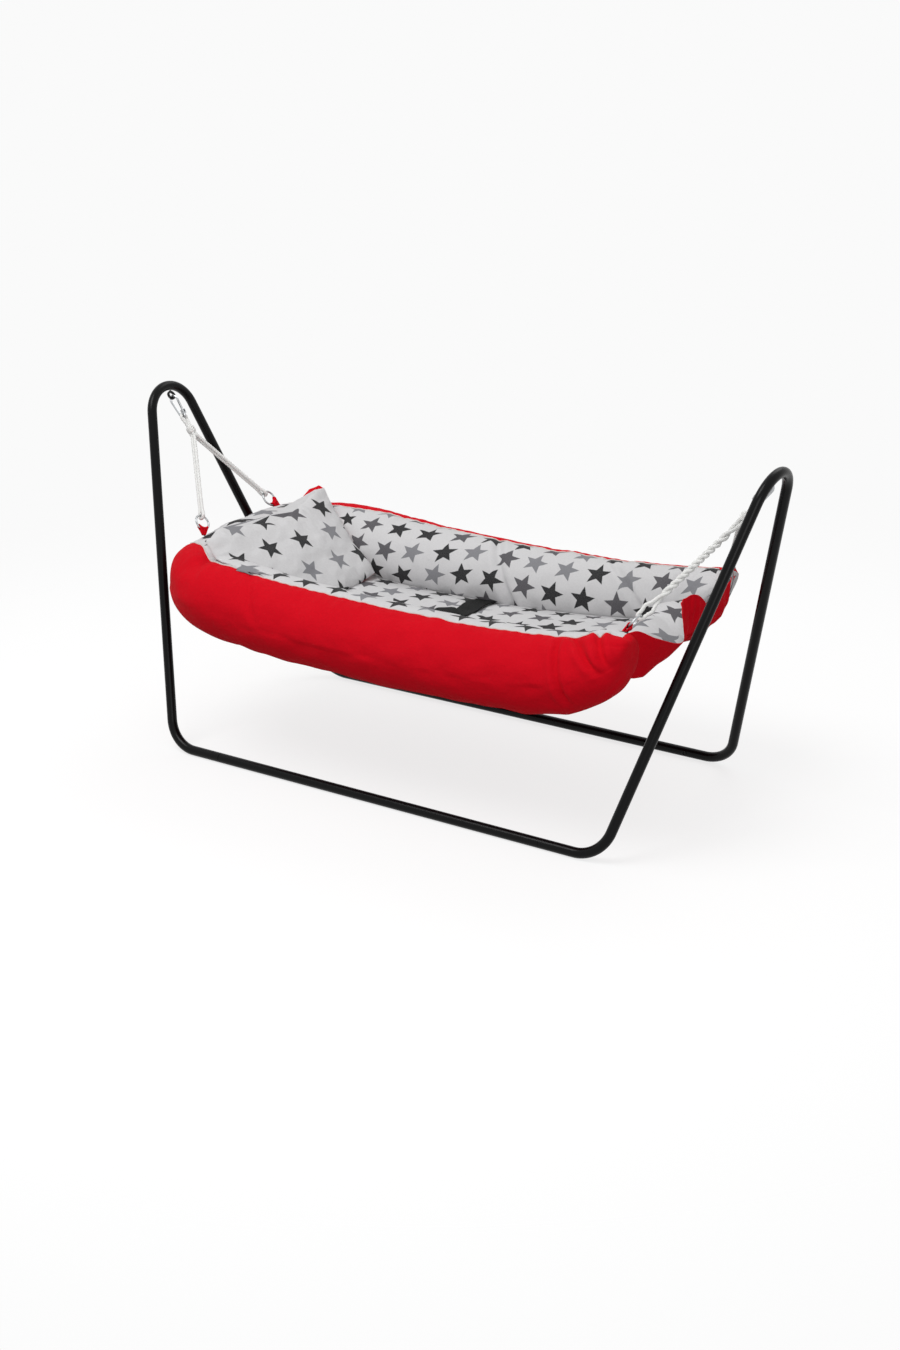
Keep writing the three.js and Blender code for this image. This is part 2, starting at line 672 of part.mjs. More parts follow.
// Stations round the U, from the front arm's tip to the rear arm's tip
function bolsterStations() {
  const arm = [];
  for (let k = 0; k < domeSteps; k++) {
    const share = Math.sin((Math.PI / 2) * (1 - (k + tipShare) / domeSteps));
    const fullness = (1 - share ** footDomePower) ** (1 / footDomePower);
    arm.push({ x: domeFrom + footDomeLength * share, fullness });
  }
  for (let k = 0; k < armSteps; k++) {
    arm.push({ x: THREE.MathUtils.lerp(domeFrom, straightFrom, k / armSteps), fullness: 1 });
  }
  const front = arm.map(({ x, fullness }) => ({ x, y: -armHalf, out: vector(0, -1, 0), fullness }));
  const bend = (side) => Array.from({ length: cornerSteps + 1 }, (_, k) => {
    const angle = (Math.PI / 2) * (k / cornerSteps);
    const out = vector(-Math.sin(angle), side * Math.cos(angle), 0);
    return {
      x: straightFrom + bolsterCornerRadius * out.x,
      y: side * (armHalf - bolsterCornerRadius) + bolsterCornerRadius * out.y,
      out,
      fullness: 1,
    };
  });
  const rear = front.map(({ x, y, fullness }) => ({ x, y: -y, out: vector(0, 1, 0), fullness })).reverse();
  return [...front, ...bend(-1), ...bend(1).reverse(), ...rear];
}

// Creases that fan out from each gathered arm end and fade along the arm
function gather(x, angle) {
  const nearTip = Math.max(0, 1 - (armFootReach - x) / gatherLength);
  return gatherDepth * nearTip * Math.abs(Math.sin((gatherCount * angle) / 2));
}

function makeBolster() {
  const rings = bolsterStations().map(({ x, y, out, fullness }) => Array.from({ length: bolsterSides }, (_, k) => {
    const angle = (2 * Math.PI * k) / bolsterSides;
    const radius = (stuffingRadius(x) - gather(x, angle)) * fullness;
    const lift = footDomeLift * stuffingRadius(x) * (1 - fullness);
    return vector(x, y, centreHeight(x) + lift).addScaledVector(out, radius * Math.cos(angle))
      .add(vector(0, 0, radius * Math.sin(angle)));
  }));
  return addPiece('side_bolster', loft(rings), 'redCotton');
}

// Half width left between the arms at a depth below their middle line
function roomBetweenArms(x, depth) {
  const radius = stuffingRadius(x);
  return armHalf - Math.sqrt(Math.max(0, radius ** 2 - depth ** 2)) - softGap;
}

const beltSewnReach = roomBetweenArms(beltReach, mattressEdgeDrop) - softGap;
const baseDepth = (x) => baseLevelShare * stuffingRadius(x);

// Rounds the two head corners of a cushion that starts at the given reach
function cornerTrim(x, from) {
  const inside = Math.min(mattressCornerRadius, x - from);
  return mattressCornerRadius - Math.sqrt(mattressCornerRadius ** 2 - (mattressCornerRadius - inside) ** 2);
}

function mattressTop(x, y) {
  const halfWidth = roomBetweenArms(x, mattressEdgeDrop);
  const crown = mattressCrown * (1 - (y / halfWidth) ** 2);
  const dentShare = Math.exp(-(((x - beltReach) / (beltDentWidth / 2)) ** 2));
  const dent = beltDent * dentShare * (1 - beltDentFade * (y / halfWidth) ** 2);
  return centreHeight(x) - mattressEdgeDrop + crown - dent;
}

// Places that part a stretch into equal steps, without its two ends
function evenlyBetween(from, to, steps) {
  return Array.from({ length: steps - 1 }, (_, k) => THREE.MathUtils.lerp(from, to, (k + 1) / steps));
}

function makeMattress() {
  const from = -headReach + headStuffingRadius + softGap;
  const headPlaces = mattressHeadPlaces.map((inset) => from + inset);
  const beltPlaces = mattressBeltPlaces.map((offset) => beltReach + offset);
  const footEnd = mattressFootReach - mattressEndRound;
  const places = [
    ...headPlaces, ...evenlyBetween(headPlaces.at(-1), beltPlaces[0], mattressHeadSteps),
    ...beltPlaces, ...evenlyBetween(beltPlaces.at(-1), footEnd, mattressFootSteps), footEnd, mattressFootReach,
  ];
  const topSpans = 8;
  const rings = places.map((x) => {
    const trim = cornerTrim(x, from);
    const endDrop = x === mattressFootReach ? mattressEndRound : 0;
    const half = (depth) => roomBetweenArms(x, depth) - trim;
    const top = Array.from({ length: topSpans + 1 }, (_, k) => {
      const y = half(mattressEdgeDrop) * (1 - (2 * k) / topSpans);
      return vector(x, y, mattressTop(x, y) - endDrop);
    });
    const bottomDepth = baseDepth(x) - fitGap - endDrop;
    const level = centreHeight(x) - bottomDepth;
    const waistDepth = (bottomDepth + mattressEdgeDrop) / 2;
    const waist = centreHeight(x) - waistDepth;
    return [
      ...top,
      vector(x, -half(waistDepth), waist), vector(x, -half(bottomDepth), level),
      vector(x, 0, level),
      vector(x, half(bottomDepth), level), vector(x, half(waistDepth), waist),
    ];
  });
  return addPiece('mattress', loft(rings), 'starCotton');
}

function makeBaseCover() {
  const headRoom = Math.sqrt(1 - baseLevelShare ** 2) * headStuffingRadius + softGap + baseHeadClearance;
  const from = -headReach + headRoom;
  const to = mattressFootReach + baseFootOverhang;
  const rings = Array.from({ length: baseSteps + 1 }, (_, k) => {
    const x = THREE.MathUtils.lerp(from, to, k / baseSteps);
    const trim = cornerTrim(x, from) * (bolsterCornerRadius / mattressCornerRadius) * baseCornerShare;
    const half = roomBetweenArms(x, baseDepth(x)) + softGap - fitGap - trim;
    const top = centreHeight(x) - baseDepth(x);
    return [
      vector(x, half, top), vector(x, -half, top),
      vector(x, -half, top - baseThickness), vector(x, half, top - baseThickness),
    ];
  });
  addPiece('base_cover', loft(rings), 'redCotton');
}

function makeFootCollar() {
  const place = ([past, y, above]) => vector(armFootReach + past, y, lowestCentreHeight + above);
  const curve = (points) => new THREE.CatmullRomCurve3(points.map(place), false, 'centripetal');
  const rim = curve(collarRim);
  const base = curve(collarBase);
  const rings = Array.from({ length: collarSteps + 1 }, (_, k) => {
    const share = k / collarSteps;
    const top = rim.getPoint(share);
    const bottom = base.getPoint(share);
    const along = rim.getTangent(share).add(base.getTangent(share)).normalize();
    const rise = top.clone().sub(bottom).normalize();
    const out = along.clone().cross(rise).normalize().multiplyScalar(collarThickness / 2);
    const middle = top.clone().lerp(bottom, 0.5);
    return [
      top.clone().add(out), middle.clone().add(out), bottom.clone().add(out),
      bottom.clone().sub(out), middle.clone().sub(out), top.clone().sub(out),
    ];
  });
  addPiece('foot_collar', loft(rings), 'redCotton');
}

// Pillow: a crowned cushion, narrower below where the arms press on it
function makePillow() {
  const width = (v) => THREE.MathUtils.lerp(pillowBottomHalfWidth, pillowTopHalfWidth,
    THREE.MathUtils.smoothstep(v, ...pillowWidening));
  const rings = Array.from({ length: pillowRows + 1 }, (_, i) => {
    const v = i / pillowRows;
    const fullV = Math.sin(Math.PI * v);
    const upper = [];
    const lower = [];
    for (let j = 0; j <= pillowColumns; j++) {
      const u = (2 * j) / pillowColumns - 1;
      const fullness = Math.sqrt(fullV * Math.cos((Math.PI / 2) * u));
      const half = (pillowEdgeThickness + (pillowThickness - pillowEdgeThickness) * fullness) / 2;
      const drawn = 1 - pillowSideDip * fullV * Math.abs(u) ** 3;
      const y = u * width(v) * drawn;
      const rise = (v - 0.5) * pillowHeight * (1 - pillowTopDip * (1 - u * u));
      upper.push(vector(y, rise, half));
      lower.unshift(vector(y, rise, -half));
    }
    return [...upper, ...lower];
  });
  const pillow = addPiece('pillow', loft(rings), 'starCotton');
  const slope = pillowSlope * degrees;
  const up = vector(-Math.cos(slope), 0, Math.sin(slope));
  const face = vector(Math.sin(slope), 0, Math.cos(slope));
  pillow.quaternion.setFromRotationMatrix(new THREE.Matrix4().makeBasis(up.clone().cross(face), up, face));
  pillow.rotateZ(pillowTurn * degrees);
  pillow.position.set(...pillowCentre);
}

// Belt half: a strip laid over the mattress from its sewn edge, the front half's free end over the rear half
function makeBeltHalf({ name, side }, route, mattress) {
  const points = route.map(([x, y]) => vector(x, y ?? side * beltSewnReach, 0));
  const curve = new THREE.CatmullRomCurve3(points, false, 'centripetal');
  const half = beltWidth / 2;
  const high = 1000;
  const topOf = (point) => high - distanceTo(mattress, point.clone().setZ(high), vector(0, 0, -1));
  const rings = Array.from({ length: beltSteps + 1 }, (_, k) => {
    const place = curve.getPoint(k / beltSteps);
    const { x: alongX, y: alongY } = curve.getTangent(k / beltSteps);
    const across = vector(-alongY, alongX, 0).normalize();
    const overlap = side < 0 ? THREE.MathUtils.smoothstep(place.y, -beltLiftFrom, -beltLiftTo) : 0;
    const crest = Math.max(...[-1, -0.5, 0, 0.5, 1].map((share) => (
      topOf(place.clone().addScaledVector(across, share * half)))));
    const level = crest + beltRest + overlap * beltLift;
    const edge = (offset, height) => place.clone().addScaledVector(across, offset).setZ(level + height);
    return [edge(half, 0), edge(half, beltThickness), edge(-half, beltThickness), edge(-half, 0)];
  });
  addPiece(`${name}_belt_half`, loft(rings), 'blackWebbing');
}

ends.forEach(makeHoop);
sides.forEach(makeFloorRail);
ends.forEach((end) => sides.forEach((rail) => makeJointScrew(end, rail)));
ends.forEach(makeLug);
ends.forEach(makeSnapHook);
ends.forEach(makeRopeEye);
ends.forEach(makeWhipping);
const bolster = makeBolster();
ends.forEach((end) => sides.forEach((rail) => {
  makeRope(end, rail);
  makeRing(end, rail);
  makeTab(end, rail, bolster);
}));
const mattress = makeMattress();
makeBaseCover();
makeFootCollar();
makePillow();
makeBeltHalf(sides[1], rearBeltRoute, mattress);
makeBeltHalf(sides[0], frontBeltRoute, mattress);

export default cradle;
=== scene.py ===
"""Hanging baby cradle: a padded nest of red and star-printed cotton, hung by ropes in a black tube stand.

Lengths in the shape functions are in millimetres, as in the CAD, and become metres when a mesh is laid.
"""

import bpy
import numpy as np
from mathutils import Matrix


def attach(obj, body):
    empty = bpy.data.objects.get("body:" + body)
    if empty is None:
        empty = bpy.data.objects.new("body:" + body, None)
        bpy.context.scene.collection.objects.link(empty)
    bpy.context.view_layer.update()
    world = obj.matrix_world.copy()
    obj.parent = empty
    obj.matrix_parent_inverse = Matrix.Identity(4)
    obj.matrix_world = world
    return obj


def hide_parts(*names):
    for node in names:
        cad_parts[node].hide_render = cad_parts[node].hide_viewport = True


bl_info = {
    "name": "Hanging Baby Cradle",
    "version": (1, 0, 0),
    "blender": (4, 5, 0),
    "location": "View3D > Sidebar > Cradle",
    "description": "Finishes the pieces of a hanging baby cradle over its measured frame",
    "category": "Object",
}

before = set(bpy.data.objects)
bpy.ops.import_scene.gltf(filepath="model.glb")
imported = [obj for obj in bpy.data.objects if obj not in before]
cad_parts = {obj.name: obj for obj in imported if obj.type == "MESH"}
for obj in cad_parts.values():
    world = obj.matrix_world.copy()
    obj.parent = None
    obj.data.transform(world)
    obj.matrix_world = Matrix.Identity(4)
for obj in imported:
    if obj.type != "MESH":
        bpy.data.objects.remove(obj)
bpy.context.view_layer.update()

MM = 0.001
ENDS = (("head", -1), ("foot", 1))
RAILS = (("front", -1), ("rear", 1))


def linear(code):
    """sRGB hex code as linear red, green and blue."""
    srgb = np.array([int(code[k:k + 2], 16) for k in (1, 3, 5)]) / 255
    return tuple(float(c) for c in np.where(srgb <= 0.04045, srgb / 12.92, ((srgb + 0.055) / 1.055) ** 2.4))


# Settings


def length(name, description, default):
    """Setting in metres."""
    return bpy.props.FloatProperty(name=name, description=description, default=default, min=0, unit="LENGTH")


def colour(name, description, code):
    """Setting of a colour, from its hex code."""
    return bpy.props.FloatVectorProperty(
        name=name, description=description, default=linear(code), subtype="COLOR", size=3, min=0, max=1)


class CradleSizes(bpy.types.PropertyGroup):
    """Sizes of the cloth's and the rope's details"""
    star_width: length("Star width", "From tip to tip of a printed star", 0.052)
    star_spacing: length("Star spacing", "Between the middles of neighbouring stars of a row", 0.068)
    row_spacing: length("Row spacing", "Between the rows of stars", 0.057)
    pillow_star_spacing: length(
        "Pillow star spacing", "Between neighbouring stars of a row on the pillow", 0.086)
    pillow_row_spacing: length("Pillow row spacing", "Between the rows of stars on the pillow", 0.0665)
    thread: length("Thread", "Width of one thread of the cotton", 0.0006)
    piping: length("Piping", "Diameter of the piping in the bolster's top seam", 0.0028)
    rope_lay: length("Rope lay", "Length of one turn of the rope's three strands", 0.019)
    webbing_rib: length("Webbing rib", "Width of one rib of the belt's webbing", 0.0021)


class CradleColours(bpy.types.PropertyGroup):
    """Colours of the paint, the cloths and the stage"""
    paint: colour("Paint", "Black powder coat of the stand", "#080809")
    metal: colour("Metal", "Bright zinc of the hooks and rings", "#B9BBBD")
    rope: colour("Rope", "White polyester rope", "#F0F0EE")
    red: colour("Red cotton", "Outside of the nest", "#D2061B")
    ground: colour("Print ground", "Light grey ground of the print", "#CECDCE")
    black_star: colour("Black star", "Darkest stars", "#18181A")
    dark_star: colour("Dark grey star", "Dark grey stars", "#545256")
    grey_star: colour("Grey star", "Palest stars", "#808084")
    piping: colour("Piping", "Piping in the bolster's seam", "#DCD4D0")
    webbing: colour("Webbing", "Belt", "#0B0C0C")
    floor: colour("Floor", "Pale studio floor", "#FAFAFA")


# Meshes


def unit(v):
    """Vectors brought to length 1."""
    return v / np.linalg.norm(v, axis=-1, keepdims=True)


def smooth(a, b, x):
    """Smooth step from 0 at a to 1 at b: 3t² - 2t³."""
    t = np.clip((np.asarray(x, float) - a) / (b - a), 0, 1)
    return t * t * (3 - 2 * t)


def ripple(seed, x, y, wave, parts=9):
    """Soft unevenness from about -1 to 1: sine waves of about one wavelength, summed in random directions."""
    rng = np.random.default_rng(seed)
    total = 0
    for _ in range(parts):
        turn, phase, stretch = rng.uniform(0, 2 * np.pi, 2).tolist() + [rng.uniform(0.65, 1.6)]
        total = total + np.sin(2 * np.pi * (x * np.cos(turn) + y * np.sin(turn)) / (wave * stretch) + phase)
    return total / np.sqrt(parts) / 1.4


def lay_mesh(name, rows, around=False, along=False, closed_ends=False, uv=None, bands=None, sharp=None):
    """Mesh of quads between neighbouring points of rows, an array of rows x columns x 3 in millimetres.

    around joins the last column to the first, along the last row to the first, and closed_ends closes both
    end rows with a fan round the row's middle. uv has one more column than rows where it goes around. bands
    holds the material number of each quad, or of each column of them. sharp is the angle in degrees from
    which edges stay sharp. A shell that comes out inside out is turned.
    """
    n, m = rows.shape[:2]
    i, j = np.meshgrid(np.arange(n if along else n - 1), np.arange(m if around else m - 1), indexing="ij")
    i, j = i.ravel(), j.ravel()
    corners = np.stack([i, i, i + 1, i + 1]), np.stack([j, j + 1, j + 1, j])
    quads = ((corners[0] % n) * m + corners[1] % m).T
    points = rows.reshape(-1, 3)
    faces = quads.tolist()
    loops_uv = []
    if uv is not None:
        quad_uv = uv[corners[0] % len(uv), np.minimum(corners[1], uv.shape[1] - 1)]
        loops_uv.append(quad_uv.transpose(1, 0, 2).reshape(-1, 2))
    bands = np.zeros((n, m), int) if bands is None else np.broadcast_to(bands, (n, m))
    numbers = bands[i, j]
    if closed_ends:
        columns = np.arange(m)
        for row, order in ((0, (1, 0)), (n - 1, (0, 1))):
            middle = len(points)
            points = np.vstack([points, rows[row].mean(axis=0)])
            ring = [row * m + columns, row * m + (columns + 1) % m]
            fan = np.stack([np.full(m, middle), ring[order[0]], ring[order[1]]], axis=1)
            faces += fan.tolist()
            numbers = np.concatenate([numbers, bands[row]])
            if uv is not None:
                places = [columns, np.minimum(columns + 1, uv.shape[1] - 1)]
                ring_uv = [uv[row, places[order[0]]], uv[row, places[order[1]]]]
                middle_uv = (ring_uv[0] + ring_uv[1]) / 2
                loops_uv.append(np.stack([middle_uv, *ring_uv], axis=1).reshape(-1, 2))
    mesh = bpy.data.meshes.new(name)
    mesh.from_pydata((points * MM).tolist(), [], faces)
    if uv is not None:
        layer = mesh.uv_layers.new(name="cloth")
        layer.data.foreach_set("uv", (np.vstack(loops_uv) * MM).ravel().astype(np.float32))
    mesh.polygons.foreach_set("material_index", numbers.astype(np.int32))
    if (around or along) and signed_volume(mesh) < 0:
        mesh.flip_normals()
    mesh.shade_smooth()
    if sharp:
        mesh.set_sharp_from_angle(angle=np.radians(sharp))
    mesh.update()
    return mesh


def signed_volume(mesh):
    """Six times the volume inside the faces, summed over all triangles: below 0 if they face inwards."""
    mesh.calc_loop_triangles()
    corners = np.empty(len(mesh.loop_triangles) * 3, np.int32)
    mesh.loop_triangles.foreach_get("vertices", corners)
    points = np.empty(len(mesh.vertices) * 3, np.float32)
    mesh.vertices.foreach_get("co", points)
    a, b, c = points.reshape(-1, 3)[corners.reshape(-1, 3)].transpose(1, 0, 2)
    return float(np.einsum("ij,ij->", a, np.cross(b, c)))


def add_piece(name, mesh, body, nodes, slot, *materials):
    """Object of a mesh that rides on a body and stands for its CAD nodes."""
    piece = bpy.data.objects.new(name, mesh)
    bpy.context.scene.collection.objects.link(piece)
    for material in materials:
        mesh.materials.append(material)
    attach(piece, body)
    if nodes:
        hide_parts(*nodes)
    return piece


def path_frames(points, reference):
    """Unit tangent, first axis nearest to the reference, and second axis at each point of a path."""
    tangent = unit(np.gradient(points, axis=0))
    first = unit(reference - (tangent @ reference)[:, None] * tangent)
    return tangent, first, np.cross(tangent, first)


def tube_rows(points, frames, radius, angles):
    """Tube round a path: point + radius × (first axis × cos + second axis × sin)."""
    _, first, second = frames
    radius = np.broadcast_to(radius, (len(points), len(angles)))[..., None]
    return points[:, None] + radius * (
        first[:, None] * np.cos(angles)[:, None] + second[:, None] * np.sin(angles)[:, None])


def full_turn(count):
    """Angles in even steps round a circle, without the last, which is the first again."""
    return np.arange(count) * 2 * np.pi / count


def through(points, per_span=24):
    """Centripetal Catmull-Rom curve through points: a cubic in each span, timed by the root of its length."""
    p = np.asarray(points, float)
    p = np.vstack([2 * p[0] - p[1], p, 2 * p[-1] - p[-2]])
    knots = np.sqrt(np.linalg.norm(np.diff(p, axis=0), axis=1))[:, None]
    d0, d1, d2 = knots[:-2], knots[1:-1], knots[2:]
    x0, x1, x2, x3 = p[:-3], p[1:-2], p[2:-1], p[3:]
    t1 = d1 * ((x1 - x0) / d0 - (x2 - x0) / (d0 + d1) + (x2 - x1) / d1)
    t2 = d1 * ((x2 - x1) / d1 - (x3 - x1) / (d1 + d2) + (x3 - x2) / d2)
    t = (np.arange(per_span) / per_span)[None, :, None]
    x1, x2, t1, t2 = x1[:, None], x2[:, None], t1[:, None], t2[:, None]
    curve = x1 + t1 * t + (3 * (x2 - x1) - 2 * t1 - t2) * t ** 2 + (2 * (x1 - x2) + t1 + t2) * t ** 3
    return np.vstack([curve.reshape(-1, p.shape[1]), p[-2]])


def evenly(points, step):
    """The same line in even steps of about the given length, and the places of its points along it."""
    places = np.concatenate([[0], np.cumsum(np.linalg.norm(np.diff(points, axis=0), axis=1))])
    even = np.linspace(0, places[-1], max(2, int(round(places[-1] / step)) + 1))
    return np.stack([np.interp(even, places, points[:, k]) for k in range(points.shape[1])], axis=1), even


# Materials


def fill_sockets(tree, node, values):
    """Sets a node's sockets to values, or joins them to other sockets."""
    for key, value in values.items():
        socket = node.inputs[key]
        if isinstance(value, bpy.types.NodeSocket):
            tree.links.new(value, socket)
        elif socket.type == "RGBA" and len(value) == 3:
            socket.default_value = (*value, 1)
        else:
            socket.default_value = value


def add_node(tree, kind, values=None, **settings):
    """Node with its settings and the values of its sockets."""
    node = tree.nodes.new(kind)
    for key, value in settings.items():
        setattr(node, key, value)
    fill_sockets(tree, node, values or {})
    return node


def math(tree, operation, *values):
    """Result of one step of arithmetic."""
    return add_node(tree, "ShaderNodeMath", dict(enumerate(values)), operation=operation).outputs[0]


def mix(tree, share, a, b):
    """Colour that goes from a to b by a share from 0 to 1."""
    return add_node(tree, "ShaderNodeMix", {0: share, 6: a, 7: b}, data_type="RGBA").outputs[2]


def scaled(tree, vector, factor):
    """Vector or colour times a number."""
    return add_node(tree, "ShaderNodeVectorMath", {0: vector, "Scale": factor}, operation="SCALE").outputs[0]


def parts_of(tree, vector):
    """The three parts of a vector, as sockets."""
    return add_node(tree, "ShaderNodeSeparateXYZ", {0: vector}).outputs


def cloth_map(tree):
    """Places on the cloth's own map, in metres."""
    return tree.nodes.new("ShaderNodeUVMap").outputs[0]


def noise(tree, vector, size, detail=2.0):
    """Noise from 0 to 1 whose features are about the given size in metres."""
    values = {"Vector": vector, "Scale": 1 / size, "Detail": detail}
    return add_node(tree, "ShaderNodeTexNoise", values).outputs["Fac"]


def start_material(name):
    """New material, its node tree, its shader and its object coordinates."""
    material = bpy.data.materials.new(name)
    material.use_nodes = True
    tree = material.node_tree
    shader = tree.nodes["Principled BSDF"]
    place = tree.nodes.new("ShaderNodeTexCoord").outputs["Object"]
    return material, tree, shader, place


def bump(tree, shader, height, distance, below=None):
    """Bump of a height from 0 to 1 that stands for the given distance in metres, laid over another one."""
    values = {"Height": height, "Distance": distance, "Strength": 1.0}
    if below is not None:
        values["Normal"] = below
    node = add_node(tree, "ShaderNodeBump", values)
    tree.links.new(node.outputs[0], shader.inputs["Normal"])
    return node.outputs[0]


def weave(tree, uv, thread):
    """Plain weave from 0 to 1: the product of one thread wave along and one across the cloth."""
    axes = parts_of(tree, scaled(tree, uv, np.pi / thread))
    across, down = (math(tree, "SINE", axes[k]) for k in (0, 1))
    return math(tree, "MULTIPLY_ADD", math(tree, "MULTIPLY", across, down), 0.5, 0.5)


def cotton(material, dye):
    """Matt woven cotton: threads with painted highlight and shade, slubs, and creases too small to model."""
    tree = material.node_tree
    shader = tree.nodes["Principled BSDF"]
    place = tree.nodes["Texture Coordinate"].outputs["Object"]
    uv = cloth_map(tree)
    threads = weave(tree, uv, bpy.context.scene.cradle_sizes.thread)
    slubs = noise(tree, uv, 0.004, 3.0)
    # The weave paints highlight and shade into the dye: lighter on the threads' crowns, darker between them;
    # random slubs vary the tone.
    uneven_tone = math(tree, "MULTIPLY_ADD", threads, 0.10, math(tree, "MULTIPLY_ADD", slubs, 0.16, 0.87))
    fill_sockets(tree, shader, {
        "Base Color": scaled(tree, dye, uneven_tone),
        "Roughness": math(tree, "MULTIPLY_ADD", slubs, 0.12, 0.74),
        "Specular IOR Level": 0.07, "Sheen Weight": 0.04, "Sheen Roughness": 0.4})
    creases = bump(tree, shader, noise(tree, place, 0.022, 2.5), 0.0022)
    bump(tree, shader, threads, 0.00012, creases)


def red_cotton():
    """Bright red cotton with a faint satin sheen: the eye reads its soft folds by the sheen."""
    material, tree, shader, place = start_material("red cotton satin")
    red = tuple(bpy.context.scene.cradle_colours.red)
    deep = tuple(c * 0.72 for c in red)
    faded = math(tree, "MULTIPLY", noise(tree, place, 0.09, 2.0), 0.35)
    cotton(material, mix(tree, faded, red, deep))
    fill_sockets(tree, shader, {"Sheen Tint": linear("#FF8A80")})
    return material


# The ink's bleed: its waves in a metre and how far it runs, and a star's soft edge from in to out, in metres
BLEED_WAVES = 420.0
BLEED_REACH = 0.0011
INK_EDGE = (-0.0003, 0.0004)
# Luck of a star: how far its middle strays as a share of its cell, and its tilt in radians and the least
STRAY = 0.13
TILT, LEAST_TILT = 0.7, 0.59
# Radius of a star's notches as a share of its tips' radius
NOTCH = 0.43
# Rows by luck: up to where in its luck a star is black, and from where on it is pale. In ordered rows every
# fifth star is black, and this share of the others is pale
BLACK_SHARE, PALE_FROM = 0.55, 0.82
ORDERED_PALE_SHARE = 0.7
# Shift of each row, seed and order of the rows, for the nest's print and the pillow's
NEST_PRINT = (0.2, 57877, True)
CUSHION_PRINT = (0.44, 310064, False)


def star_print(spacing, row_spacing, row_shift, seed, ordered_rows):
    """Light grey cotton with plain five-pointed stars, whose edges bleed a little into the weave.

    The cloth's own map is cut into rows of cells, each row shifted against the last by a share of a cell. In
    each cell, the point is turned by the cell's tilt and folded into one point of the star, whose edge is a
    straight line from its tip to its notch. The seed sets each star's luck. With ordered rows, the stars of
    every second row take their tones in order, and the others by luck.
    """
    material, tree, _, _ = start_material("printed cotton with stars")
    sizes, colours = bpy.context.scene.cradle_sizes, bpy.context.scene.cradle_colours
    uv = cloth_map(tree)
    bleed = add_node(tree, "ShaderNodeTexNoise", {"Vector": uv, "Scale": BLEED_WAVES, "Detail": 1.0})
    values = {0: bleed.outputs["Color"], 1: (BLEED_REACH,) * 3, 2: uv}
    bled = add_node(tree, "ShaderNodeVectorMath", values, operation="MULTIPLY_ADD").outputs[0]
    axes = parts_of(tree, bled)
    row_place = math(tree, "DIVIDE", axes[1], row_spacing)
    row = math(tree, "FLOOR", row_place)
    shift = math(tree, "MULTIPLY", row, row_shift)
    star_place = math(tree, "ADD", math(tree, "DIVIDE", axes[0], spacing), shift)
    star = math(tree, "FLOOR", star_place)
    cell = add_node(tree, "ShaderNodeCombineXYZ", {0: star, 1: row, 2: float(seed)}).outputs[0]
    chance = add_node(tree, "ShaderNodeTexWhiteNoise", {"Vector": cell}, noise_dimensions="3D")
    chances = add_node(tree, "ShaderNodeSeparateColor", {0: chance.outputs["Color"]}).outputs
    luck = chance.outputs["Value"]

    def local(place, spacing, luck):
        """Distance from the star's middle, which strays from the cell's middle by luck."""
        middle = math(tree, "MULTIPLY_ADD", luck, STRAY, (1 - STRAY) / 2)
        return math(tree, "MULTIPLY", math(tree, "SUBTRACT", math(tree, "FRACT", place), middle), spacing)

    x = local(star_place, spacing, chances[0])
    y = local(row_place, row_spacing, chances[1])
    squares = [math(tree, "MULTIPLY", side, side) for side in (x, y)]
    distance = math(tree, "SQRT", math(tree, "ADD", *squares))
    tilt = math(tree, "MULTIPLY_ADD", chances[2], TILT, LEAST_TILT)
    angle = math(tree, "ADD", math(tree, "ARCTAN2", y, x), tilt)
    point = 2 * np.pi / 5
    centred = math(tree, "SUBTRACT", math(tree, "FLOORED_MODULO", angle, point), point / 2)
    folded = math(tree, "ABSOLUTE", centred)
    tip = sizes.star_width / 2 / np.cos(np.pi / 10)
    notch = NOTCH * tip
    edge = np.array([notch * np.cos(point / 2) - tip, notch * np.sin(point / 2)])
    outward = np.array([edge[1], -edge[0]]) / np.linalg.norm(edge)
    reach = math(tree, "MULTIPLY", distance, math(tree, "COSINE", folded))
    lift = math(tree, "MULTIPLY", distance, math(tree, "SINE", folded))
    beyond = math(tree, "ADD", math(tree, "MULTIPLY", reach, float(outward[0])),
                  math(tree, "MULTIPLY_ADD", lift, float(outward[1]), float(-outward[0] * tip)))
    values = {0: beyond, 1: INK_EDGE[0], 2: INK_EDGE[1], 3: 1.0, 4: 0.0}
    ink = add_node(tree, "ShaderNodeMapRange", values).outputs[0]
    ordered = math(tree, "FLOORED_MODULO", row, 2.0) if ordered_rows else 0.0

    def either(in_order, by_luck):
        """Share of a tone: set by the order of the stars in ordered rows, and by luck in the others."""
        rest = math(tree, "MULTIPLY", math(tree, "SUBTRACT", 1.0, ordered), by_luck)
        return math(tree, "MULTIPLY_ADD", ordered, in_order, rest)

    fifth = math(tree, "COMPARE", math(tree, "FLOORED_MODULO", star, 5.0), 3.0, 0.1)
    pale = math(tree, "LESS_THAN", luck, ORDERED_PALE_SHARE)
    pale = math(tree, "MULTIPLY", pale, math(tree, "SUBTRACT", 1.0, fifth))
    blackness = either(fifth, math(tree, "LESS_THAN", luck, BLACK_SHARE))
    paleness = either(pale, math(tree, "GREATER_THAN", luck, PALE_FROM))
    tone = mix(tree, blackness, tuple(colours.dark_star), tuple(colours.black_star))
    tone = mix(tree, paleness, tone, tuple(colours.grey_star))
    rubbed = math(tree, "MULTIPLY_ADD", noise(tree, uv, 0.0016, 2.0), -0.22, 1.06)
    cover = math(tree, "MULTIPLY", ink, math(tree, "MINIMUM", rubbed, 1.0))
    cotton(material, mix(tree, cover, tuple(colours.ground), tone))
    return material


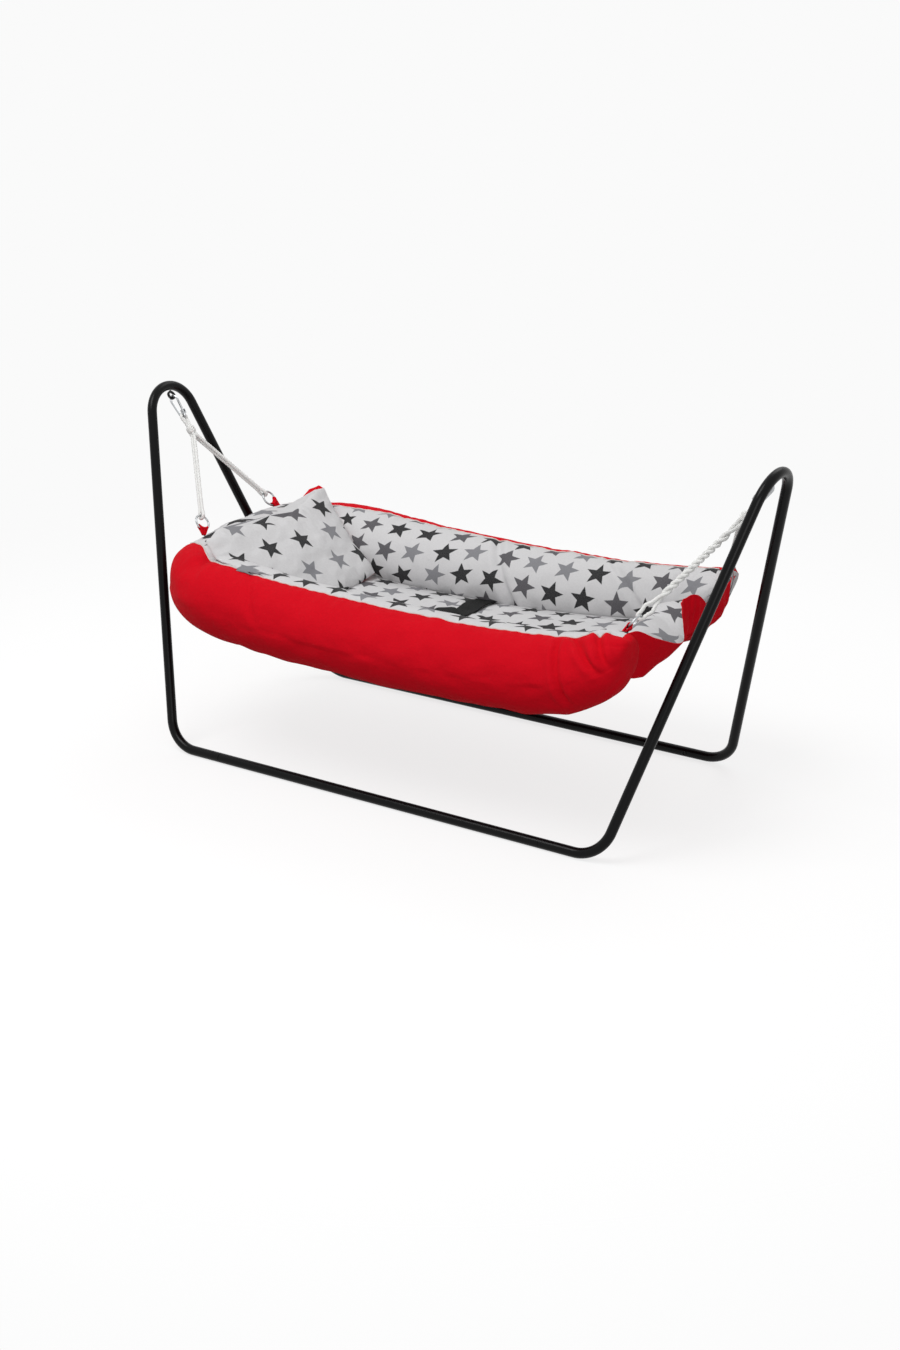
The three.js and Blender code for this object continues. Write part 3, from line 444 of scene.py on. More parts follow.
def piping_cotton():
    """Plain beige cotton, a little uneven in its dye."""
    material, tree, _, place = start_material("beige cotton piping")
    beige = tuple(bpy.context.scene.cradle_colours.piping)
    shade = tuple(c * 0.8 for c in beige)
    cotton(material, mix(tree, noise(tree, place, 0.03), beige, shade))
    return material


def powder_coat():
    """Black powder coat: satin gloss in long soft lines, with the fine orange peel of baked powder."""
    material, tree, shader, place = start_material("black powder coat")
    paint = tuple(bpy.context.scene.cradle_colours.paint)
    uneven_tone = tuple(c * 1.6 for c in paint)
    dust = noise(tree, place, 0.05, 4.0)
    fill_sockets(tree, shader, {
        "Base Color": mix(tree, math(tree, "MULTIPLY", dust, 0.4), paint, uneven_tone),
        "Roughness": math(tree, "MULTIPLY_ADD", dust, 0.12, 0.2),
        "Specular IOR Level": 0.13})
    peel = bump(tree, shader, noise(tree, place, 0.0022, 1.0), 0.00005)
    bump(tree, shader, noise(tree, place, 0.0005, 1.0), 0.00001, peel)
    return material


def bright_zinc():
    """Bright zinc plate: metal with a cloudy, slightly uneven polish and fine scratches."""
    material, tree, shader, place = start_material("bright zinc plate")
    metal = tuple(bpy.context.scene.cradle_colours.metal)
    dull = tuple(c * 0.75 for c in metal)
    cloud = noise(tree, place, 0.006, 3.0)
    fill_sockets(tree, shader, {
        "Base Color": mix(tree, cloud, metal, dull),
        "Roughness": math(tree, "MULTIPLY_ADD", cloud, 0.25, 0.2),
        "Metallic": 1.0})
    bump(tree, shader, noise(tree, place, 0.0006, 2.0), 0.00002)
    return material


def rope_fibre():
    """White polyester: each strand is a bundle of fine yarns along it, with painted shade in fine stripes
    along the yarns.
    """
    material, tree, shader, place = start_material("white polyester rope")
    white = tuple(bpy.context.scene.cradle_colours.rope)
    dark = tuple(c * 0.86 for c in white)
    across = parts_of(tree, cloth_map(tree))[1]
    yarn = math(tree, "SINE", math(tree, "MULTIPLY", across, 2 * np.pi / 0.0007))
    yarn = math(tree, "MULTIPLY_ADD", yarn, 0.5, 0.5)
    hair = noise(tree, place, 0.0015, 3.0)
    # Random hairs, and painted shade in fine stripes along the yarns, darken the white.
    shade = math(tree, "MULTIPLY_ADD", hair, 0.25, math(tree, "MULTIPLY", yarn, 0.18))
    fill_sockets(tree, shader, {
        "Base Color": mix(tree, shade, white, dark),
        "Roughness": math(tree, "MULTIPLY_ADD", hair, 0.2, 0.55),
        "Specular IOR Level": 0.1, "Sheen Weight": 0.1})
    bump(tree, shader, yarn, 0.0001, bump(tree, shader, hair, 0.0001))
    return material


def woven_webbing():
    """Black webbing: close ribs across the strap, each broken up by the warp threads, and painted paler on
    their crowns as a painted highlight.
    """
    material, tree, shader, place = start_material("woven black webbing")
    rib = bpy.context.scene.cradle_sizes.webbing_rib
    black = tuple(bpy.context.scene.cradle_colours.webbing)
    pale = tuple(c * 2 for c in black)
    axes = parts_of(tree, cloth_map(tree))
    ribs = math(tree, "SINE", math(tree, "MULTIPLY", axes[0], 2 * np.pi / rib))
    warp = math(tree, "SINE", math(tree, "MULTIPLY", axes[1], 2 * np.pi / (rib * 0.75)))
    height = math(tree, "MULTIPLY_ADD", ribs, 0.3, math(tree, "MULTIPLY_ADD", warp, 0.2, 0.5))
    fuzz = noise(tree, place, 0.002, 3.0)
    # Painted highlight: the raised ribs and warp threads are painted paler, in patches of random fuzz.
    fill_sockets(tree, shader, {
        "Base Color": mix(tree, math(tree, "MULTIPLY", height, fuzz), black, pale),
        "Roughness": math(tree, "MULTIPLY_ADD", fuzz, 0.15, 0.6),
        "Specular IOR Level": 0.15})
    bump(tree, shader, height, 0.0004)
    return material


made = {}


def finish(name):
    """The material of one finish, made once."""
    sizes = bpy.context.scene.cradle_sizes
    makers = {
        "paint": powder_coat, "zinc": bright_zinc, "rope": rope_fibre, "red": red_cotton,
        "webbing": woven_webbing, "piping": piping_cotton,
        "stars": lambda: star_print(sizes.star_spacing, sizes.row_spacing, *NEST_PRINT),
        "pillow stars": lambda: star_print(
            sizes.pillow_star_spacing, sizes.pillow_row_spacing, *CUSHION_PRINT),
    }
    if name not in made:
        made[name] = makers[name]()
    return made[name]


# Stand

TUBE_RADIUS = 9.5
TUBE_BORE = 8.0
RAIL_SPACING = 505
FOOTPRINT = 966
# Where the lines of the foot end's legs meet, above the arch
MEETING = np.array([713.0, 0, 809])
ARCH_BEND = 62.5
FLOOR_BEND = 68
# Where a hoop's floor part ends, and from there: how far the rail's tip goes in, and where the screw sits
HOOP_END = FOOTPRINT / 2 - 120
RAIL_TIP = 55
SCREW_PLACE = 28
# Gap between neighbouring parts of a joint
PLAY = 0.3


def bent_path(corners, radii, bend_steps):
    """Straight lines joined by round bends: in each, a spoke turns about the bend's centre."""
    points = [corners[0]]
    for k, radius in enumerate(radii):
        corner = corners[k + 1]
        back, ahead = unit(corners[k] - corner), unit(corners[k + 2] - corner)
        half = np.arccos(back @ ahead) / 2
        centre = corner + unit(back + ahead) * radius / np.sin(half)
        spoke = corner + back * radius / np.tan(half) - centre
        angle = np.linspace(0, np.pi - 2 * half, bend_steps)[:, None]
        points += list(centre + spoke * np.cos(angle) - back * radius * np.sin(angle))
    points.append(corners[-1])
    return np.array(points)


def hoop_line(side):
    """Where an end's legs' lines meet, the way down its plane's middle, and the crown of its arch."""
    top = MEETING * [side, 1, 1]
    foot = np.array([side * FOOTPRINT / 2, 0, TUBE_RADIUS])
    half = np.arctan2(RAIL_SPACING / 2, np.linalg.norm(foot - top))
    down = unit(foot - top)
    return top, down, top + down * (ARCH_BEND / np.sin(half) - ARCH_BEND)


def hoop_mesh(name, side):
    """Wall of a bent tube: the outer skin out along the path and the bore back, joined at both open ends."""
    y = RAIL_SPACING / 2
    corners = [np.array(p, float) for p in (
        (side * HOOP_END, -y, TUBE_RADIUS), (side * FOOTPRINT / 2, -y, TUBE_RADIUS), hoop_line(side)[0],
        (side * FOOTPRINT / 2, y, TUBE_RADIUS), (side * HOOP_END, y, TUBE_RADIUS))]
    path = bent_path(corners, (FLOOR_BEND, ARCH_BEND, FLOOR_BEND), 34)
    tangent = unit(np.vstack([path[1] - path[0], (path[2:] - path[:-2]), path[-1] - path[-2]]))
    _, down, _ = hoop_line(side)
    normal = np.array([side * down[2], 0, -side * down[0]])
    first = unit(normal - (tangent @ normal)[:, None] * tangent)
    frames = tangent, first, np.cross(tangent, first)
    angles = full_turn(48)
    outer, bore = (tube_rows(path, frames, r, angles) for r in (TUBE_RADIUS, TUBE_BORE))
    rows = np.concatenate([outer, bore[::-1]])
    return lay_mesh(name, rows, around=True, along=True, sharp=40)


def lathe_rows(profile, centre, axis, start, count=48, corners=None):
    """Profile of (radius, height) turned round an axis; its rows in corners follow a hexagon."""
    axis = np.array(axis, float)
    first = np.array(start, float)
    second = np.cross(axis, first)
    angles = full_turn(count)
    radius, height = np.array(profile, float).T
    radius = np.repeat(radius[:, None], count, axis=1)
    if corners:
        sixth = np.pi / 3
        radius[corners] *= 1 / np.cos((angles + sixth / 2) % sixth - sixth / 2)
    ring = first * np.cos(angles)[:, None] + second * np.sin(angles)[:, None]
    return centre + radius[..., None] * ring[None] + height[:, None, None] * axis


def rail_mesh(name, side):
    """Turned profile: a thick body, a step down at each end, and thin drawn-in tips with their bore."""
    body, tip = HOOP_END - PLAY, HOOP_END + RAIL_TIP
    thin, wall = TUBE_BORE - PLAY, TUBE_RADIUS - TUBE_BORE
    profile = [(thin, -tip), (thin, -body), (TUBE_RADIUS - 0.5, -body), (TUBE_RADIUS, -body + 0.5),
               (TUBE_RADIUS, body - 0.5), (TUBE_RADIUS - 0.5, body), (thin, body), (thin, tip),
               (thin - wall, tip), (thin - wall, -tip)]
    centre = np.array([0, side * RAIL_SPACING / 2, TUBE_RADIUS])
    rows = lathe_rows(profile, centre, (1, 0, 0), (0, 0, 1))
    return lay_mesh(name, rows, around=True, along=True, sharp=40)


def screw_mesh(name, side, rail):
    """Button-head screw: a turned domed head with a six-sided socket, on its shank."""
    inward = np.array([0, -rail, 0])
    axis_point = np.array([side * (HOOP_END + SCREW_PLACE), rail * RAIL_SPACING / 2, TUBE_RADIUS])
    seat = axis_point + inward * (TUBE_RADIUS + PLAY)
    dome = np.linspace(0, 1, 7)
    profile = [(2.3, -12), (2.5, -11.7), (2.5, 0), (4.6, 0)]
    profile += [(1.9 + 2.85 * np.cos(d * np.pi / 2), 0.4 + 2.3 * np.sin(d * np.pi / 2)) for d in dome]
    profile += [(1.55, 2.6), (1.5, 1.0), (1.0, 1.0)]
    last = len(profile)
    rows = lathe_rows(profile, seat, inward, (0, 0, 1), 36, [last - 3, last - 2, last - 1])
    return lay_mesh(name, rows, around=True, closed_ends=True, sharp=35)


def soften_edges(node, width):
    """Welds a CAD node's loose triangles and rounds its sharp edges, both as modifiers."""
    weld = node.modifiers.new("weld", "WELD")
    weld.merge_threshold = 0.00001
    rounded = node.modifiers.new("rounded edges", "BEVEL")
    rounded.width = width
    rounded.segments = 2
    rounded.limit_method = "ANGLE"
    rounded.angle_limit = np.radians(50)


def dress_node(name, material, edge=None):
    """Gives a CAD node its material and rounded edges."""
    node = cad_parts[name]
    node.data.materials.clear()
    node.data.materials.append(material)
    if edge:
        soften_edges(node, edge)


# Hanging gear

# Middle of an end's rings: along the cradle, out from its middle, and up
RING_PLACES = {"head": (504, 105, 428), "foot": (502, 180, 424)}
# From the tube's skin down to the middle of the lug's hole, and on to the hook's seat in it
LUG_DROP = 12
HOOK_SEAT = 2.45
# Down the line from that seat: where the rope's eye lies on the hook, and where the whipping starts and ends
HOOK_TIP = 48.5
WHIPPING = (70.5, 84.5)
WHIPPING_RADIUS = 8.6
WHIPPING_THREAD, THREAD_RELIEF = 1.55, 0.35
ROPE_RADIUS = 3.4
ROPE_STEP = 0.8
# Gap between the rope and the whipping's ends
ROPE_GAP = 0.3
STRAND_SPACING = 6.8
RING_RADIUS = 15
RING_WIRE = 2.0
# Radius of the rope's bend round the ring's wire, and round the hook
BIGHT = 5.7
EYE_BIGHT = 6.1
# Cloth tab: its half width at the ring and where it is sewn in, its thickness, its gap to the ring's wire,
# half the gap between its legs, how far it goes into the bolster, and its least length
TAB_WIDE, TAB_NARROW = 10.0, 4.0
TAB_CLOTH, TAB_SLACK, TAB_PARTING = 1.5, 1.3, 0.4
TAB_SEWN_IN, TAB_LEAST = 2.5, 7
# The one rope that hangs slack, the turns of its strands round each other, and the opening that they leave
SLACK_ROPE = ("foot", -1)
SLACK_TURNS, SLACK_OPENING = 6, 4.5


def hanging_line(end, side):
    """Places on the line that an end hangs on, by how far down, across and to the rear, and its two axes."""
    reach, _, height = RING_PLACES[end]
    crown = hoop_line(side)[2]
    down = unit(np.array([side * reach, 0, height]) - crown)
    start = crown + down * (TUBE_RADIUS + LUG_DROP + HOOK_SEAT)
    across = np.array([side * down[2], 0, -side * down[0]])

    def at(along, offset=0, y=0):
        """Place at these distances from the hook's seat."""
        return start + down * along + across * offset + np.array([0, y, 0])

    return at, down, across


def ring_frame(end, side, rail):
    """A ring's middle, the way its rope pulls, and the two axes square to that."""
    at, down, across = hanging_line(end, side)
    reach, spread, height = RING_PLACES[end]
    centre = np.array([side * reach, rail * spread, height], float)
    pull = unit(centre - at(WHIPPING[1]))
    normal = unit(across - (across @ pull) * pull)
    return at, down, centre, pull, normal, np.cross(pull, normal)


def rope_path(end, side, rail):
    """Doubled rope: from the whipping down to its ring, half round the ring's wire, and back up.

    The slack rope's two strands are laid round each other, and open into a small eye above the ring.
    """
    at, _, centre, pull, normal, wire = ring_frame(end, side, rail)
    top = centre - pull * RING_RADIUS
    slack, turns = (SLACK_OPENING, SLACK_TURNS) if (end, rail) == SLACK_ROPE else (0, 0)
    place = np.linspace(0, 1, 40)[:, None]
    half = STRAND_SPACING / 2
    below = WHIPPING[1] + ROPE_GAP

    def strand(share):
        """One of the two strands, on the side that the share's sign gives."""
        leave = at(below, share * half, rail * half)
        first = at(below + ROPE_RADIUS * 2, share * half, rail * half)
        start = at(below + ROPE_RADIUS * 2, 0, rail * half)
        middle = start + (top - start) * place
        apart = half + (BIGHT - half) * smooth(0.9, 1, place)
        apart = apart + slack * np.exp(-((place - 0.92) / 0.035) ** 2)
        turn = 2 * np.pi * turns * smooth(0, 0.9, place)
        away = normal * np.cos(turn) + wire * np.sin(turn)
        return [leave, first, *(middle + share * apart * away)[2:]]

    bend = [top + normal * BIGHT * np.cos(a) + pull * BIGHT * np.sin(a) for a in np.pi * np.arange(1, 5) / 5]
    return evenly(through([*strand(1), *bend, *strand(-1)[::-1]]), ROPE_STEP)[0]


def eye_path(end, side):
    """Eye of the rope: up from the whipping, round the hook's lower bend, and back."""
    at = hanging_line(end, side)[0]
    half = STRAND_SPACING / 2
    bottom = WHIPPING[0] - ROPE_GAP
    neck = bottom - 5.5
    turn = [at(HOOK_TIP - EYE_BIGHT * np.cos(a), 0, EYE_BIGHT * np.sin(a))
            for a in np.pi / 2 - np.pi * np.arange(7) / 6]
    points = [at(bottom, 0, half), at(neck, 0, half), *turn, at(neck, 0, -half), at(bottom, 0, -half)]
    return evenly(through(points), ROPE_STEP)[0]


def rope_mesh(name, path, reference):
    """Three-strand rope: a tube with three rounded lobes that turn once in each lay length."""
    lay = bpy.context.scene.cradle_sizes.rope_lay / MM
    angles = full_turn(30)
    _, places = evenly(path, ROPE_STEP)
    places = np.linspace(0, places[-1], len(path))
    phase = angles[None] - 2 * np.pi * places[:, None] / lay
    radius = ROPE_RADIUS * (0.84 + 0.16 * np.abs(np.cos(1.5 * phase)) ** 0.7)
    rows = tube_rows(path, path_frames(path, reference), radius, angles)
    across = np.append(angles, 2 * np.pi)
    strand = (across[None] - 2 * np.pi * places[:, None] / lay) * ROPE_RADIUS
    uv = np.stack([np.repeat(places[:, None], len(across), axis=1), strand], axis=-1)
    return lay_mesh(name, rows, around=True, closed_ends=True, uv=uv)


def whipping_mesh(name, end, side):
    """Wound whipping: a waisted barrel whose skin is one fine helix of thread."""
    at, down, across = hanging_line(end, side)
    along = np.linspace(WHIPPING[0], WHIPPING[1], 90)
    angles = full_turn(48)
    share = (along - WHIPPING[0]) / (WHIPPING[1] - WHIPPING[0])
    barrel = WHIPPING_RADIUS * (1 - 0.3 * np.abs(2 * share - 1) ** 5)
    turn = np.cos(2 * np.pi * along[:, None] / WHIPPING_THREAD - angles[None])
    centre = np.array([at(a) for a in along])
    frames = (np.tile(down, (90, 1)), np.tile(across, (90, 1)), np.tile(np.cross(down, across), (90, 1)))
    rows = tube_rows(centre, frames, barrel[:, None] + THREAD_RELIEF * turn, angles)
    around = np.append(angles, 2 * np.pi)
    uv = np.stack(np.meshgrid(along, around * 7.5, indexing="ij"), axis=-1)
    return lay_mesh(name, rows, around=True, closed_ends=True, uv=uv)


def ring_mesh(name, end, side, rail):
    """Welded ring: a torus whose wire thickens a little at its weld."""
    _, _, centre, pull, normal, wire = ring_frame(end, side, rail)
    turn, angles = full_turn(72), full_turn(20)
    spoke = pull * np.cos(turn)[:, None] + wire * np.sin(turn)[:, None]
    radius = RING_WIRE + 0.25 * np.exp(-((turn - 2.4) / 0.09) ** 2)
    rows = centre + RING_RADIUS * spoke[:, None] + radius[:, None, None] * (
        spoke[:, None] * np.cos(angles)[:, None] + normal * np.sin(angles)[:, None])
    return lay_mesh(name, rows, around=True, along=True)


def tab_mesh(name, end, side, rail):
    """Bunched cloth loop: up from the bolster, over the ring's wire and back.

    It is wide at the ring and narrow where it is sewn in. Across its width it follows the ring's round and
    ripples in small gathers.
    """
    _, _, centre, pull, normal, wire = ring_frame(end, side, rail)
    foot = centre + pull * RING_RADIUS
    reach = ((corner_list(f"{end}_{rail_name(rail)}_tab") - foot) @ pull).max()
    drop = max(reach + TAB_SEWN_IN, TAB_LEAST)
    over = RING_WIRE + TAB_SLACK
    leg = np.linspace(1, 0, 22)[:, None]
    bend = np.linspace(0, np.pi, 17)[1:-1, None]
    width = np.linspace(-1, 1, 41)[None]

    def layer(grow):
        """One face of the cloth: both legs and the turn over the wire, the given distance from the wire."""
        gap = over + grow
        down = np.vstack([leg * drop, -gap * np.sin(bend), leg[::-1] * drop])
        near = 1 - np.clip(down / drop, 0, 1)
        closed = TAB_PARTING + grow
        spread = closed + (gap - closed) * (1 - leg) ** 2
        sideways = np.vstack([-spread, -gap * np.cos(bend), spread[::-1]])
        half = TAB_NARROW + (TAB_WIDE - TAB_NARROW) * near ** 0.8
        across = half * width
        rise = RING_RADIUS - np.sqrt(np.maximum(RING_RADIUS ** 2 - across ** 2, 40))
        fold = 0.9 * np.cos(width * 9 + 0.6) * smooth(0.0, 0.5, 1 - near) * np.sign(sideways)
        return (foot + (sideways + fold)[..., None] * normal + (down - rise * near)[..., None] * pull
                + across[..., None] * wire)

    outer, inner = layer(TAB_CLOTH), layer(0)
    rows = np.concatenate([outer, inner[:, ::-1]], axis=1)
    return lay_mesh(name, rows, around=True, closed_ends=True, uv=flat_uv(rows), sharp=60)


def rail_name(rail):
    """Name of the side that a sign stands for."""
    return "front" if rail < 0 else "rear"


def corner_list(name):
    """Corners of a CAD node, in millimetres."""
    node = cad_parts[name]
    points = np.empty(len(node.data.vertices) * 3, np.float32)
    node.data.vertices.foreach_get("co", points)
    turned = points.reshape(-1, 3) @ np.array(node.matrix_world.to_3x3()).T
    return (turned + np.array(node.matrix_world.translation)) / MM


def flat_uv(rows):
    """Map from lengths: along each column and along each row of the surface."""
    def run(steps, axis):
        """Length so far at each point, from 0 at the first."""
        start = np.zeros_like(np.take(steps, [0], axis=axis))
        return np.concatenate([start, np.cumsum(steps, axis=axis)], axis=axis)

    closed = np.concatenate([rows, rows[:, :1]], axis=1)
    along = run(np.linalg.norm(np.diff(closed, axis=0), axis=-1), 0)
    across = run(np.linalg.norm(np.diff(closed, axis=1), axis=-1), 1)
    return np.stack([along.mean(axis=1, keepdims=True) + 0 * across, across], axis=-1)


# Padded nest

# Middle line of the stuffed U: its arms' distance from the middle, its reach to the head, its corner radius,
# where the front arm ends, how much shorter the rear arm is, and the length over which the tips close
ARM_HALF = 218
HEAD_REACH = 455
CORNER = 130
ARM_END = 519
REAR_SHORTER = 27
DOME = 62
STRAIGHT_FROM = -HEAD_REACH + CORNER
# Its height: the lowest and where that is, and how far and over what length it rises to the foot and the head
LOWEST, LOWEST_PLACE = 299, -80
FOOT_RISE, FOOT_RISE_LENGTH = 37, 530
HEAD_RISE, HEAD_RISE_LENGTH = 29, 375
# Radius of the stuffed tube: the fullest, where it starts to shrink, and how far over what length
FULLEST, SHRINK_FROM = 89, -200
SHRINK, SHRINK_LENGTH = 23, 650
# Degrees round the bolster go from 0 on its outside over 90 on top to 180 on its inside
SEAM_TOP = 80
COLUMNS = 108
# How far the underside is lifted at places along an arm, and how far the front arm's tip turns up
UNDERSIDE_PLACES = (-130, -10, 25, 70, 155, 200, 285, 325, 405, 440, 480, 519)
UNDERSIDE_LIFTS = (27, 20, 16, 13.5, 9.5, 5.7, 0, -8, -8, 1, 14, 20)
TIP_RISE = 10
# How far the rear arm's tip is lifted from below, and how far the head's top sinks and where along it
REAR_TIP_LIFT = 48
HEAD_DIP, HEAD_DIP_PLACE, HEAD_DIP_SPREAD = 11, -105, 45
# Roll outside the head's seam: height, angle and spread in degrees
HEAD_ROLL, HEAD_ROLL_ANGLE, HEAD_ROLL_SPREAD = 4.5, 42, 26
# Degrees over which the columns are turned along with the seam
SEAM_PULL = 55
# Where the seam is tucked, as the length from the front tip
TUCK_PLACE = 905
# Most of the radius that a depth below the middle line may take up, so that a side stays a side
STEEPEST = 0.93
# Place of the print on the bolster: along its middle line, with the front arm's own share, and round it
PRINT_ALONG, FRONT_PRINT_ALONG = 1413, 20
PRINT_ROUND, REAR_PRINT_ROUND, REAR_HEAD_PRINT_ROUND = -4, 26, -50
# Stations at each tip without piping
PIPING_FROM = 18
# Creases across the arms: side, place at the top, slope in mm a degree, depth, width, and degrees from and to
CREASES = (
    (-1, 384, -0.35, 7.5, 5, -25, 68), (-1, 405, -0.93, 8.0, 6, 10, 72), (-1, 458, -0.5, 8.0, 6, 10, 84),
    (-1, 118, -0.2, 1.2, 9, 35, 80), (-1, -286, -0.8, 2.4, 8, 20, 80), (-1, -70, 0.25, 1.0, 10, 30, 80),
    (1, -13, 0.74, 6.5, 8, 88, 215), (1, 241, 1.2, 5.0, 7, 95, 215), (1, 405, -0.3, 3.0, 7, 95, 200),
    (1, -170, 0.4, 2.0, 9, 95, 160), (1, 120, -0.3, 1.6, 8, 90, 150))


def centre_height(x):
    """Height of the bolster's middle line: a sag between the raised foot end and the head end."""
    x = np.asarray(x, float)
    foot = FOOT_RISE * np.maximum(0, (x - LOWEST_PLACE) / FOOT_RISE_LENGTH) ** 2.5
    head = HEAD_RISE * np.clip((LOWEST_PLACE - x) / HEAD_RISE_LENGTH, 0, 1) ** 2
    return LOWEST + np.where(x > LOWEST_PLACE, foot, head)


def stuffing_radius(x):
    """Radius of the stuffed tube, fullest towards the head."""
    return FULLEST - SHRINK * np.maximum(0, (np.asarray(x, float) - SHRINK_FROM) / SHRINK_LENGTH) ** 1.4


def bolster_line():
    """Stations round the U, from the front arm's tip to the rear arm's.

    They are given as place, way out, fullness and length so far.
    """
    share = np.sin(np.pi / 2 * (1 - np.linspace(0.02, 1, 26)))
    dome_start = ARM_END - DOME
    x = np.concatenate([dome_start + DOME * share, np.arange(dome_start - 5, STRAIGHT_FROM + 1, -5.0)])
    full = np.concatenate([(1 - share ** 2.6) ** (1 / 2.6), np.ones(len(x) - len(share))])
    turn = np.linspace(0, np.pi / 2, 42)[1:]
    bend_x = STRAIGHT_FROM - CORNER * np.sin(turn)
    bend_y = -(ARM_HALF - CORNER) - CORNER * np.cos(turn)
    head_y = np.linspace(-(ARM_HALF - CORNER), ARM_HALF - CORNER, 37)[1:-1]
    half_x = np.concatenate([x, bend_x])
    half_y = np.concatenate([np.full(len(x), -ARM_HALF), bend_y])
    bend_out = np.stack([-np.sin(turn), -np.cos(turn)], axis=1)
    half_out = np.concatenate([np.tile([0, -1.0], (len(x), 1)), bend_out])
    half_full = np.concatenate([full, np.ones(len(turn))])
    head = len(head_y)
    rear_x = half_x - REAR_SHORTER * smooth(380, ARM_END, half_x)
    xs = np.concatenate([half_x, np.full(head, -HEAD_REACH), rear_x[::-1]])
    ys = np.concatenate([half_y, head_y, -half_y[::-1]])
    out = np.concatenate([half_out, np.tile([-1.0, 0], (head, 1)), half_out[::-1] * [1, -1]])
    fullness = np.concatenate([half_full, np.ones(head), half_full[::-1]])
    steps = np.hypot(np.diff(xs), np.diff(ys))
    places = np.concatenate([[0], np.cumsum(steps)])
    return xs, ys, out, fullness, places


def pleats(seed, angle, count):
    """Uneven gathers round a drawn-in end, from 0 on the puffs to 1 in the creases."""
    rng = np.random.default_rng(seed)
    wobble = sum(rng.uniform(0.15, 0.5) * np.sin(k * angle + rng.uniform(0, 6.3)) for k in (1, 2, 3))
    return 1 - np.abs(np.sin(count * angle / 2 + wobble)) ** 0.55


def bolster_relief(xs, ys, places, angle):
    """How far the bolster's skin stands out from its round.

    There are gathers at the tips, puckers and a tuck along the seam, folds inside the head corners, creases
    across the arms, and a soft unevenness of the stuffing.
    """
    x, y, s = xs[:, None], ys[:, None], places[:, None]
    to_tip = ARM_END - x
    arms = np.abs(y) > 150
    tips = np.where(arms, np.exp(-np.maximum(to_tip, 0) / 30), 0)
    gathers = -5.0 * tips * np.where(y < 0, pleats(3, angle, 8), pleats(8, angle, 9))
    turned = (np.degrees(angle) + 130) % 360 - 130
    seam = np.abs(turned - SEAM_TOP)
    pucker = -1.8 * np.exp(-(seam / 7) ** 2) + 1.3 * np.exp(-(seam / 26) ** 2) * ripple(5, s, angle * 6, 26)
    corner = np.exp(-((np.hypot(x + 325, np.abs(y) - 88) - 130) / 60) ** 2) * (x < -300)
    inside = smooth(0.2, -0.8, np.cos(angle))
    folds = -3.2 * corner * inside * np.abs(np.sin(s / 15 + 1.2 * np.sin(angle * 2))) ** 0.5
    outer_folds = 0.6 * corner * ripple(9, s, angle * 60, 46)
    creases = 0
    for side, place, slope, depth, width, low, high in CREASES:
        off = x - place - slope * (turned - 90)
        within = smooth(low - 25, low + 10, turned) * smooth(high + 12, high - 6, turned) * (y * side > 150)
        puff = 0.45 * np.exp(-((np.abs(off) - 2.4 * width) / (1.3 * width)) ** 2)
        creases = creases + depth * within * (puff - np.exp(-(off / width) ** 2))
    tuck = -7.0 * np.exp(-((s - TUCK_PLACE) / 16) ** 2 - ((turned - SEAM_TOP) / 16) ** 2)
    for spread in (-0.55, -0.15, 0.3):
        off = s - TUCK_PLACE - spread * (SEAM_TOP - turned)
        fan = smooth(0, 25, SEAM_TOP - turned) * smooth(75, 30, SEAM_TOP - turned)
        tuck = tuck - 2.6 * fan * np.exp(-(off / 8) ** 2)
    soft = 1.3 * ripple(1, s, angle * 80, 190) + 0.6 * ripple(2, s, angle * 80, 60)
    drag = 0.8 * ripple(4, s * 0.45, angle * 80, 30) * smooth(-0.4, 0.7, np.cos(angle))
    return gathers + pucker + folds + outer_folds + creases + tuck + soft + drag


def underside_lift(xs):
    """How far the stuffing's weight and the sling flatten the bolster from below, along an arm."""
    return np.interp(xs, UNDERSIDE_PLACES, UNDERSIDE_LIFTS)


def seam_angle(xs, ys):
    """Angle of the top seam: a little inwards on the rear arm, and well down the outside round the head."""
    head = smooth(180, 85, np.abs(ys))
    arm = np.where(ys < 0, SEAM_TOP, 84 + 8 * smooth(-285, -335, xs))
    return arm + (34 - arm) * head


